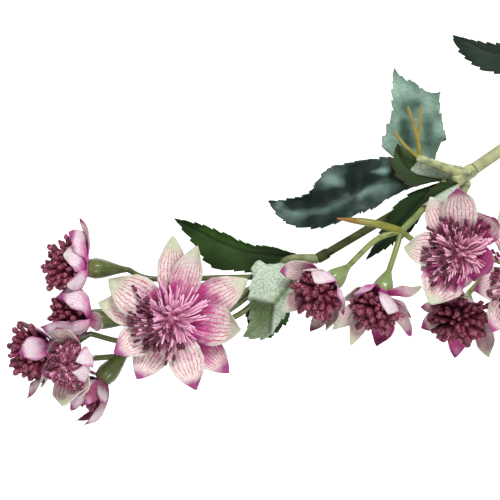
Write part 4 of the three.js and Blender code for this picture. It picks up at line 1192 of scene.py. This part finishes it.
# Stations along the midrib from root to tip: (x, y, z, width left, width right, rise of left edge, rise of
# right edge). finishes names the cloth of the left half, the right half and the back. swells are (x, y,
# radius, height) of soft humps, and spots are (x, y, radius, amount) of painted light: a positive amount is a
# painted highlight and a negative one painted shade, and along the pale folded leaf's midrib the dark spots
# are partly the rib's own olive colour and partly painted shade in its crease. below is what is folded down:
# the depth, and the lines that the fold follows, with the low part on their right, which is also darkened by
# FOLD_SHADE as painted shade under the fold. turned is the share of the right half, from its root, that shows
# its back.
LEAVES = {
    "blue_leaf": dict(
        slot="blue_leaf", finishes=("blue", "blue", "felt"), midrib=0.5, ribs=0.12, quilt=0.03,
        swells=[(28.4, 24, 4.5, 1.6), (37, 25, 5, -1.4), (45, 27, 5, 1), (44, 20, 5, 1.2),
                (30, 13.5, 4, -0.9), (20, 17.5, 4, -1), (22, 10, 3.5, 0.8)],
        spots=[(26, 24.3, 1.7, 0.35), (28, 23.9, 1.8, 0.5), (30, 23.3, 1.7, 0.5), (32, 22.7, 1.5, 0.3),
               (26, 23, 4, 0.25), (39, 26, 4.5, -0.9), (36, 21.5, 2.5, -0.9), (51, 26.5, 3, -0.8),
               (12.5, 13.2, 1.6, 0.4), (14.8, 12.8, 1.6, 0.4), (17, 12.8, 1.7, 0.4), (19.2, 13, 1.7, 0.4),
               (21.6, 13.3, 1.7, 0.4), (24, 13.8, 1.7, 0.4), (26.4, 14.6, 1.7, 0.35), (28.8, 15.6, 1.7, 0.35),
               (31.2, 16.9, 1.7, 0.3), (33.6, 18.4, 1.7, 0.3), (37.4, 18.6, 1.2, 0.5), (38.8, 19.6, 1.3, 0.6),
               (40.3, 20.6, 1.4, 0.6), (42, 21.5, 1.5, 0.5), (44, 22.2, 1.5, 0.4), (43, 19.8, 2.4, 0.35),
               (46.4, 21.6, 2.4, 0.4), (50, 22.4, 2.2, 0.4), (41, 26.7, 0.9, 0.7), (42.3, 26.8, 0.9, 0.8),
               (43.6, 26.9, 0.9, 0.8), (44.9, 27, 1, 0.8), (46.2, 27.1, 1, 0.8), (47.6, 27.2, 1.1, 0.7),
               (10, 15.6, 1.5, 0.9), (15, 16.4, 2, -0.9), (19.4, 16.8, 2.3, -0.9),
               (24.5, 17.4, 2.3, -0.9), (29, 19.6, 2, -0.7), (22, 10, 3, -0.5), (28, 10.4, 3, -0.4)],
        stations=[
            (69, 24.6, 18, 0.7, 0.7, 0, 0), (61.9, 23.8, 15.4, 0.8, 0.8, 0, 0),
            (51, 23.5, 16.2, 4.4, 8.2, 0, 0.6), (41.5, 22.1, 16.8, 7.8, 9.5, 1, 2),
            (32.3, 17.7, 17.5, 7.1, 12, 2, 4), (22.1, 13.9, 15.5, 6.8, 6.5, 2, 2.5),
            (13.6, 13.9, 13.5, 4.8, 4.1, 1, 1), (6.1, 17, 12, 0, 0, 0, 0),
        ],
    ),
    "pale_leaf": dict(
        slot="pale_leaf", finishes=("blue_felt", "blue_felt", "deep"), midrib=0.2, ribs=0.2, quilt=0.08,
        swells=[(56, 50, 4, -0.8), (52.5, 54, 3, 0.6), (62, 43, 2, -0.5), (53, 38, 4, -0.6)],
        spots=[(52, 55.5, 4.5, 0.7), (54.5, 49.5, 2.4, -0.8), (58, 50.5, 2, -0.7), (61.5, 43, 1.7, -0.8),
               (61.5, 40, 1.7, -0.7), (61.3, 36.6, 1.8, -0.8), (53.4, 44, 2, -1), (53.8, 40.5, 2.2, -1.2),
               (54.6, 37, 2, -1), (48, 36, 3.5, 0.5), (50, 44, 2.5, 0.2), (57.5, 56, 3, -0.4),
               (65, 36, 3, -0.4)],
        stations=[
            (62.5, 28.6, 20, 0.7, 0.7, 0, 0), (58.9, 33.3, 12, 8, 9.4, 0, 1),
            (57.2, 38.6, 9.5, 12.1, 10.4, 0, 1),
            (55.4, 44.3, 6.8, 8.9, 11.6, 0, 0.6), (53.8, 49.1, 4.2, 4.6, 13.2, 0, 0),
            (53.2, 51, 3.2, 4.2, 13.6, 0, 0),
            (52.8, 52.6, 2, 3.6, 8.6, 0, 0), (52, 55.2, 0.4, 2.8, 7.4, 0, 0),
            (51.4, 57.7, -1, 2, 4.6, 0, 0),
            (50.7, 60.6, -1, 1.2, 1.8, 0, 0), (50.1, 63.6, -1, 0, 0, 0, 0),
        ],
    ),
    "small_dark_leaf": dict(
        slot="dark_leaf", finishes=("olive", "olive", "felt"), turned=0.62,
        stations=[
            (71.2, 23.3, 21.5, 0.5, 0.8, 0, 0), (67, 24, 21, 0.9, 2.6, 0, 1),
            (62.9, 24.6, 21, 1.6, 4.2, 0, 1),
            (59.4, 25.3, 21.6, 3.2, 4.4, 0.5, 1), (56.1, 26.2, 22.5, 5, 3.8, 1, 0.5),
            (52.4, 29.6, 22.5, 4.8, 5.4, 1, 0.5),
            (51, 33.3, 21.5, 2, 2.4, 0, 0), (50.3, 36.4, 20.5, 0, 0, 0, 0),
        ],
    ),
    "lower_dark_leaf": dict(
        slot="dark_leaf", finishes=("deep", "deep", "felt"),
        stations=[
            (63.9, 22.4, 18, 0.6, 0.6, 0, 0), (57.8, 16.3, 18.6, 3.4, 4.8, 0, 1),
            (52, 9.9, 18.8, 4.8, 5.4, 0, 1), (46.2, 3.4, 17.4, 3, 3, 0, 0.5),
            (39.8, -3.4, 14.5, 0, 0, 0, 0),
        ],
    ),
    "folded_leaf": dict(
        slot="dark_leaf", finishes=("felt", "olive", "felt"),
        stations=[
            (71.4, 22.8, 23.5, 0.5, 0.5, 0, 0), (66.3, 20.4, 25, 4.1, 3.4, 1.5, 0.5),
            (61.9, 17.7, 25.5, 2.7, 2.7, 1, 0.5), (58.5, 15.3, 24.5, 0, 0, 0, 0),
        ],
    ),
    "long_green_leaf": dict(
        slot="dark_leaf", finishes=("green", "bright", "felt"), ribs=0.25, quilt=0.05,
        spots=[(-9, 6, 5, 0.6), (-3, 4, 4, 0.2), (8, 1, 6, -0.8), (15, -1, 5, -0.8), (-22, 10, 4, -0.6)],
        stations=[
            (18.7, -2.7, 15.5, 0.6, 0.6, 0, 0), (8.5, -2, 17, 5.8, 3.1, -1, 1),
            (-0.7, -0.7, 18, 7.4, 3.1, -1, 1.5), (-9.5, 2.4, 17.5, 9.2, 3.7, -1, 1.5),
            (-17.7, 6.5, 15.5, 4.6, 2.7, 0, 1), (-26.2, 10.9, 12, 0, 0, 0, 0),
        ],
    ),
    "pale_folded_leaf": dict(
        slot="pale_leaf", finishes=("felt", "felt", "green"), ribs=0.15, quilt=0.05,
        spots=[(7, -19.8, 2.4, -0.7), (4, -23, 4, -0.3), (1.5, -18.5, 2, -0.4), (14.2, -11, 1.2, -0.9),
               (12.6, -13, 1.2, -0.9), (11, -15, 1.2, -0.9), (9.4, -17, 1.1, -0.8)],
        below=(3.2, [((1, -16.2), (8.5, -18.1)), ((8.5, -18.1), (7.5, -27.3))]),
        stations=[
            (17.4, -4.6, 20, 0.6, 0.8, 0, 0), (15.9, -7.8, 21.8, 1, 8.5, 0, -1),
            (14.4, -10.8, 23.2, 1.2, 13.6, 0, -1),
            (11.6, -14.3, 24.3, 3.3, 14, 0, -1), (8.5, -18, 23.6, 5.3, 10.5, -0.5, -0.5),
            (6.1, -21.8, 21.8, 5.4, 7.8, -0.5, 0), (2, -26.2, 18.5, 5.6, 3.2, 0, 0),
            (-2.4, -29.9, 15, 0, 0, 0, 0),
        ],
    ),
    "hidden_leaf": dict(
        slot="dark_leaf", finishes=("bright", "green", "felt"),
        stations=[
            (17.7, -4.1, 14.8, 0.6, 0.6, 0, 0), (12.9, -10.9, 13.5, 4.1, 5.4, 0, 0),
            (8.5, -18, 11.5, 6.5, 7.5, 0, 0), (6.5, -24.5, 9.5, 6.5, 8.2, 0, 0),
            (7.1, -30.6, 7, 0, 0, 0, 0),
        ],
    ),
    "stem_leaf": dict(
        slot="dark_leaf", finishes=("teal", "teal", "felt"),
        stations=[
            (118, 57.5, 7, 0.7, 0.7, 0, 0), (108.8, 60.5, 10, 4.8, 4.8, 1, 1),
            (95.2, 65.6, 13, 6.5, 6.1, 1, 2),
            (83.3, 67.9, 14, 7.1, 3.4, -1, 1), (74.8, 71.5, 13, 4.8, 1.4, -1, 0),
            (69.7, 74.2, 11.5, 0, 0, 0, 0),
        ],
    ),
}


def leaf_places(stations):
    """Places in a leaf's stations, even steps apart along it, and the number of teeth on each edge."""
    fine = 40
    marks = [i / fine for i in range(fine * (len(stations) - 1) + 1)]
    points = [Vector(blend(stations, mark)[:2]) for mark in marks]
    lengths = [0]
    for a, b in zip(points, points[1:]):
        lengths.append(lengths[-1] + (b - a).length)
    teeth = round(lengths[-1] / TOOTH)
    places = []
    k = 0
    for i in range(teeth * ROWS_PER_TOOTH + 1):
        goal = lengths[-1] * i / (teeth * ROWS_PER_TOOTH)
        while k < len(marks) - 2 and lengths[k + 1] < goal:
            k += 1
        share = (goal - lengths[k]) / (lengths[k + 1] - lengths[k])
        places.append(marks[k] + share / fine)
    return places, teeth


def spread_sum(spots, x, y):
    """The sum at a place of soft round spots, each (x, y, radius, amount)."""
    return sum(amount * exp(-((x - a) ** 2 + (y - b) ** 2) / radius**2) for a, b, radius, amount in spots)


def share_below(fold_lines, x, y):
    """1 well on the right of all the lines, 0 on the left of any of them."""
    share = 1
    for (ax, ay), (bx, by) in fold_lines:
        length = sqrt((bx - ax) ** 2 + (by - ay) ** 2)
        distance = ((x - ax) * (by - ay) - (y - ay) * (bx - ax)) / length
        share *= smooth(distance / 1.1 + 0.2)
    return share


def leaf_line(stations, t):
    """The direction along a leaf's midrib at place t in its stations, and the direction to its left."""
    ahead = blend(stations, min(t + STEP, len(stations) - 1))
    behind = blend(stations, max(t - STEP, 0))
    along = Vector((ahead[0] - behind[0], ahead[1] - behind[1], 0)).normalized()
    return along, Vector((-along.y, along.x, 0))


def notch(teeth_in, v, full, seed):
    """How far a corner is through its tooth, how near it is to the edge, and how deep it is cut back."""
    tooth = teeth_in + (0.4 if v > 0 else 0)
    saw = (tooth + 0.25 * scatter(int(tooth), seed)) % 1
    edge = smooth((abs(v) - NOTCH_FROM) / NOTCH_SHARE)
    cut = min(NOTCH * (0.8 + 0.35 * scatter(int(tooth), seed + 3)), full / 4) * (1 - saw) * edge
    return saw, edge, cut


def side_ribs(looks, share, teeth, v, full):
    """How strongly a side rib shows, and how far the cloth sinks between the ribs."""
    phase = RIBS_PER_TOOTH * share * teeth - RIB_SLANT * abs(v) + (OTHER_SIDE if v > 0 else 0)
    to_rib = abs((phase + 0.5) % 1 - 0.5)
    rib = exp(-((to_rib / RIB_WIDTH) ** 2)) * smooth(1.15 - abs(v)) * min(full / 4, 1)
    quilt = looks.get("quilt", 0.1) * cos(2 * pi * phase) * smooth(abs(v) * 4) * min(full / 5, 1)
    return rib * looks.get("ribs", 0.4), quilt


def leaf_corner(looks, t, share, teeth, v, seed):
    """A corner of a leaf at place t in its stations, v from -1 at the right edge to 1 at the left."""
    x, y, z, left, right, left_rise, right_rise = blend(looks["stations"], t)
    along, side = leaf_line(looks["stations"], t)
    full = max(left if v > 0 else right, 0)
    saw, edge, cut = notch(share * teeth, v, full, seed)
    rib, quilt = side_ribs(looks, share, teeth, v, full)
    reach = (full * abs(v) - cut) * (1 if v > 0 else -1)
    here = Vector((x, y, 0)) + side * reach
    rise = (left_rise if v > 0 else right_rise) * v * v
    midrib = exp(-((v * full / MIDRIB_WIDTH) ** 2)) * looks.get("midrib", 1)
    wave = 0.5 * rough(here, WAVE_SIZE, seed) * min(full / 5, 1)
    swell = spread_sum(looks.get("swells", ()), here.x, here.y) * min(full / 4, 1)
    depth, fold_lines = looks.get("below", (0, ()))
    low = share_below(fold_lines, here.x, here.y) if fold_lines else 0
    height = z + rise - quilt - MIDRIB_DEPTH * midrib + wave + swell - depth * low
    point = Vector((here.x, here.y, max(height, LEAF_THICKNESS / 2)))
    point += along * LEAN * saw * edge * min(1, full / 3)
    # Painted light: painted highlights and painted shade from the spots, and painted shade on the part folded
    # down.
    shade = spread_sum(looks.get("spots", ()), here.x, here.y) - FOLD_SHADE * low
    return point, ((v + 1) / 2, share), (max(midrib, rib), shade)


def leaf_grid(looks, seed):
    places, teeth = leaf_places(looks["stations"])
    grid = []
    for i, t in enumerate(places):
        columns = LEAF_COLUMNS if i < len(places) - 1 else 0
        share = i / (len(places) - 1)
        row = []
        for j in range(columns + 1):
            row.append(leaf_corner(looks, t, share, teeth, 2 * j / columns - 1 if columns else 0, seed))
        grid.append(row)
    return grid


def leaf(name, cloths, seed):
    """Its left half has the third material, and its right half the first, or the second where turned."""
    looks = LEAVES[name]
    left, right, back = (cloths[finish] for finish in looks["finishes"])
    turned = looks.get("turned", 0)
    mesh = sheets(name + "_blade", [leaf_grid(looks, seed)], [right, back, left, back],
                  lambda place: 2 if place[0] >= 0.5 else int(place[1] < turned),
                  LEAF_THICKNESS, ("vein", "shade"))
    piece(name + "_blade", mesh, looks["slot"], name)


# Finishes

def plastics():
    """Each has a shade and another shade, how rough it is, and its grain size."""
    shades = moulded_shades()
    return {
        "stem": moulded("stem plastic", shades, (132, 138, 94), (166, 168, 126), 0.42, 4, coat=0.25),
        "joint": moulded("joint plastic", shades, (84, 104, 86), (182, 186, 134), 0.42, 3, coat=0.3,
                         relief=0.3),
        "branch": moulded("branch plastic", shades, (90, 106, 60), (140, 150, 104), 0.4, 2.6, coat=0.3,
                          relief=0.2),
        "olive": moulded("olive plastic", shades, (36, 42, 16), (70, 74, 36), 0.6, 4),
        "cup": moulded("cup plastic", shades, (84, 98, 38), (130, 144, 76), 0.35, 3, coat=0.8,
                       tip=(128, 150, 92)),
        "olive cup": moulded("olive cup plastic", shades, (54, 68, 26), (96, 108, 54), 0.35, 3.5, coat=1.0),
        "peg": moulded("peg plastic", shades, (104, 96, 34), (140, 128, 62), 0.4, 3, tip=(138, 122, 64)),
        "bare": moulded("bare stalk plastic", shades, (84, 88, 32), (132, 132, 58), 0.35, 3, coat=0.4,
                        tip=(150, 96, 50)),
    }


def leaf_cloths():
    """Each row has the colours of the cloth's body, clouds, ribs and rim, how rough it is, and its finish.
    The cloud colour also serves as painted highlight and the rib colour as painted shade.
    """
    shades = leaf_shades()
    rows = {
        # The blue cloth's pale cloud colour serves mostly as its painted highlight, its clouds being weak.
        "blue": ("blue leaf cloth", (22, 42, 33), (112, 138, 130), (8, 20, 15), (52, 74, 62), 0.5,
                 dict(coat=0.03, cloudiness=0.3)),
        "blue_felt": ("blue felt", (98, 125, 111), (152, 180, 166), (58, 80, 66), (100, 120, 92), 0.85,
                      dict(felt=0.5)),
        "felt": ("pale felt", (184, 201, 180), (206, 220, 202), (98, 118, 78), (188, 200, 174), 0.9,
                 dict(felt=1.0)),
        "green": ("green leaf cloth", (36, 58, 22), (48, 76, 30), (22, 38, 14), (46, 76, 28), 0.6, {}),
        "bright": ("bright leaf cloth", (36, 56, 24), (50, 88, 32), (22, 38, 14), (50, 88, 32), 0.55, {}),
        "olive": ("olive leaf cloth", (38, 54, 26), (50, 72, 34), (26, 38, 18), (80, 50, 44), 0.6, {}),
        "deep": ("deep leaf cloth", (24, 42, 20), (34, 58, 26), (16, 30, 12), (42, 68, 30), 0.6, {}),
        "teal": ("teal leaf cloth", (28, 42, 32), (38, 54, 42), (20, 32, 24), (74, 86, 52), 0.55, {}),
    }
    return {key: leaf_cloth(name, shades, *values, **finish) for key, (name, *values, finish) in rows.items()}


def head_finishes():
    """Each has the colour of its root or its pits, and the colour of its tip or its grains. The pits' colour
    is painted shade and the grains' colour partly painted highlight.
    """
    strands = strand_shades()
    knobs = knob_shades()
    return {
        "pink": strand("pink filament", strands, (198, 114, 154), (244, 194, 220)),
        "anther": knob("anther", knobs, (72, 22, 40), (156, 72, 104), 0.55),
        # The maroon club's dark root is partly painted shade deep inside the head.
        "maroon": strand("maroon club", strands, (60, 14, 32), (140, 56, 80)),
        "club end": knob("maroon knob", knobs, (96, 30, 50), (206, 118, 144), 0.42),
        "rosy": strand("rosy filament", strands, (168, 80, 114), (242, 190, 212)),
    }


# Assembly

def main_stem(tree, finishes):
    """The stem, and the collar that stem_leaf leaves it at."""
    collar = [(122.5, 58.7, 4.8), (117, 55, 6)]
    runs = [rounded(MAIN_LINE, (2.05, 2.05), 90), rounded(collar, (2.7, 2.7), 8)]
    moulded_piece("main_stem_rod", tree, runs, finishes["stem"], "stem", "main_stem")


def upper_joint(tree, finishes):
    """The socket for the stem with its curved branch, the dark seam at its mouth, and three pegs."""
    body = [
        rounded([(75.9, 27.3, 19.4), (70, 23.6, 21.6)], (2.45, 2.6), 12),
        rounded([(74, 26, 20.4), (67.5, 27.6, 23.4), (57.1, 31.3, 26.6)], (2.3, 1.2)),
    ]
    moulded_piece("upper_joint_body", tree, body, finishes["joint"], "stem", "upper_joint")
    seam = [rounded([(76.5, 27.7, 19.2), (75.9, 27.3, 19.4)], (2.15, 2.3), 4)]
    moulded_piece("upper_joint_seam", tree, seam, finishes["olive"], "stem", "upper_joint")
    pegs = [
        rounded([(57.8, 30.9, 26.4), (56.6, 39, 26), (53.7, 48.6, 24.6)], (0.85, 0.52)),
        rounded([(57, 36, 26.2), (57.6, 42, 25.6), (58.1, 48.6, 24.2)], (0.62, 0.48)),
        rounded([(57.6, 31.2, 26.4), (53, 35, 26.4), (49, 40.1, 25)], (0.72, 0.5)),
    ]
    moulded_piece("upper_joint_pegs", tree, pegs, finishes["peg"], "stem", "upper_joint")


def side_stem(tree, finishes):
    """The thin stem to the left cluster, with the collar at its end."""
    collar = [(26.4, -1.1, 16.7), (23.4, -2.8, 16.9)]
    runs = [rounded(SIDE_LINE, (1.35, 1.35), 60), rounded(collar, (1.8, 1.8), 6)]
    moulded_piece("side_stem_rod", tree, runs, finishes["olive"], "side_stem", "side_stem")


def joined_tree(meshes):
    """All the meshes' faces in one search tree."""
    corners = []
    faces = []
    for mesh in meshes:
        faces += [[len(corners) + i for i in polygon.vertices] for polygon in mesh.polygons]
        corners += [corner.co.copy() for corner in mesh.vertices]
    return BVHTree.FromPolygons(corners, faces)


def blooms():
    """The petals come first, because the heads' strands end where they would touch them."""
    printed = petal_print()
    plain = (petal_cloth("petal cloth", printed, CREAM, VEIN_CRIMSON, 0.9, FLUSH, 0.1),
             petal_cloth("petal back", printed, BACK_WHITE, BACK_VEIN, 0.5, BACK_VIOLET, 0.7))
    wine = (petal_cloth("wine petal cloth", printed, CREAM, VEIN_CRIMSON, 0.9, WINE_FLUSH, 0.1),
            petal_cloth("wine petal back", printed, BACK_WHITE, WINE_BACK_VEIN, 0.5, WINE_BACK, 0.6))
    tree = head_tree()
    finishes = head_finishes()
    corollas = []
    for name, bloom in BLOOMS.items():
        corollas.append(petal_ring(name, bloom, wine if bloom.get("wine") else plain))
    cloth = joined_tree(corollas)
    for name, bloom in BLOOMS.items():
        head = open_head if bloom["kind"] is OPEN else half_open_head
        head(name, bloom, tree, finishes, cloth)


for number, bloom in enumerate(BLOOMS.values()):
    bloom["axes"] = axes_of(bloom)
    bloom["number"] = number

moulded_finishes = plastics()
runs_tree = stem_tree()
main_stem(runs_tree, moulded_finishes)
upper_joint(runs_tree, moulded_finishes)
side_stem(runs_tree, moulded_finishes)
umbel("left_umbel", runs_tree, moulded_finishes["olive cup"], [moulded_finishes["branch"]])
umbel("right_umbel", runs_tree, moulded_finishes["cup"], [moulded_finishes["cup"], moulded_finishes["bare"]])
umbel("lower_umbel", runs_tree, moulded_finishes["cup"], [moulded_finishes["joint"]])
cloths = leaf_cloths()
for number, name in enumerate(LEAVES):
    leaf(name, cloths, number)
blooms()
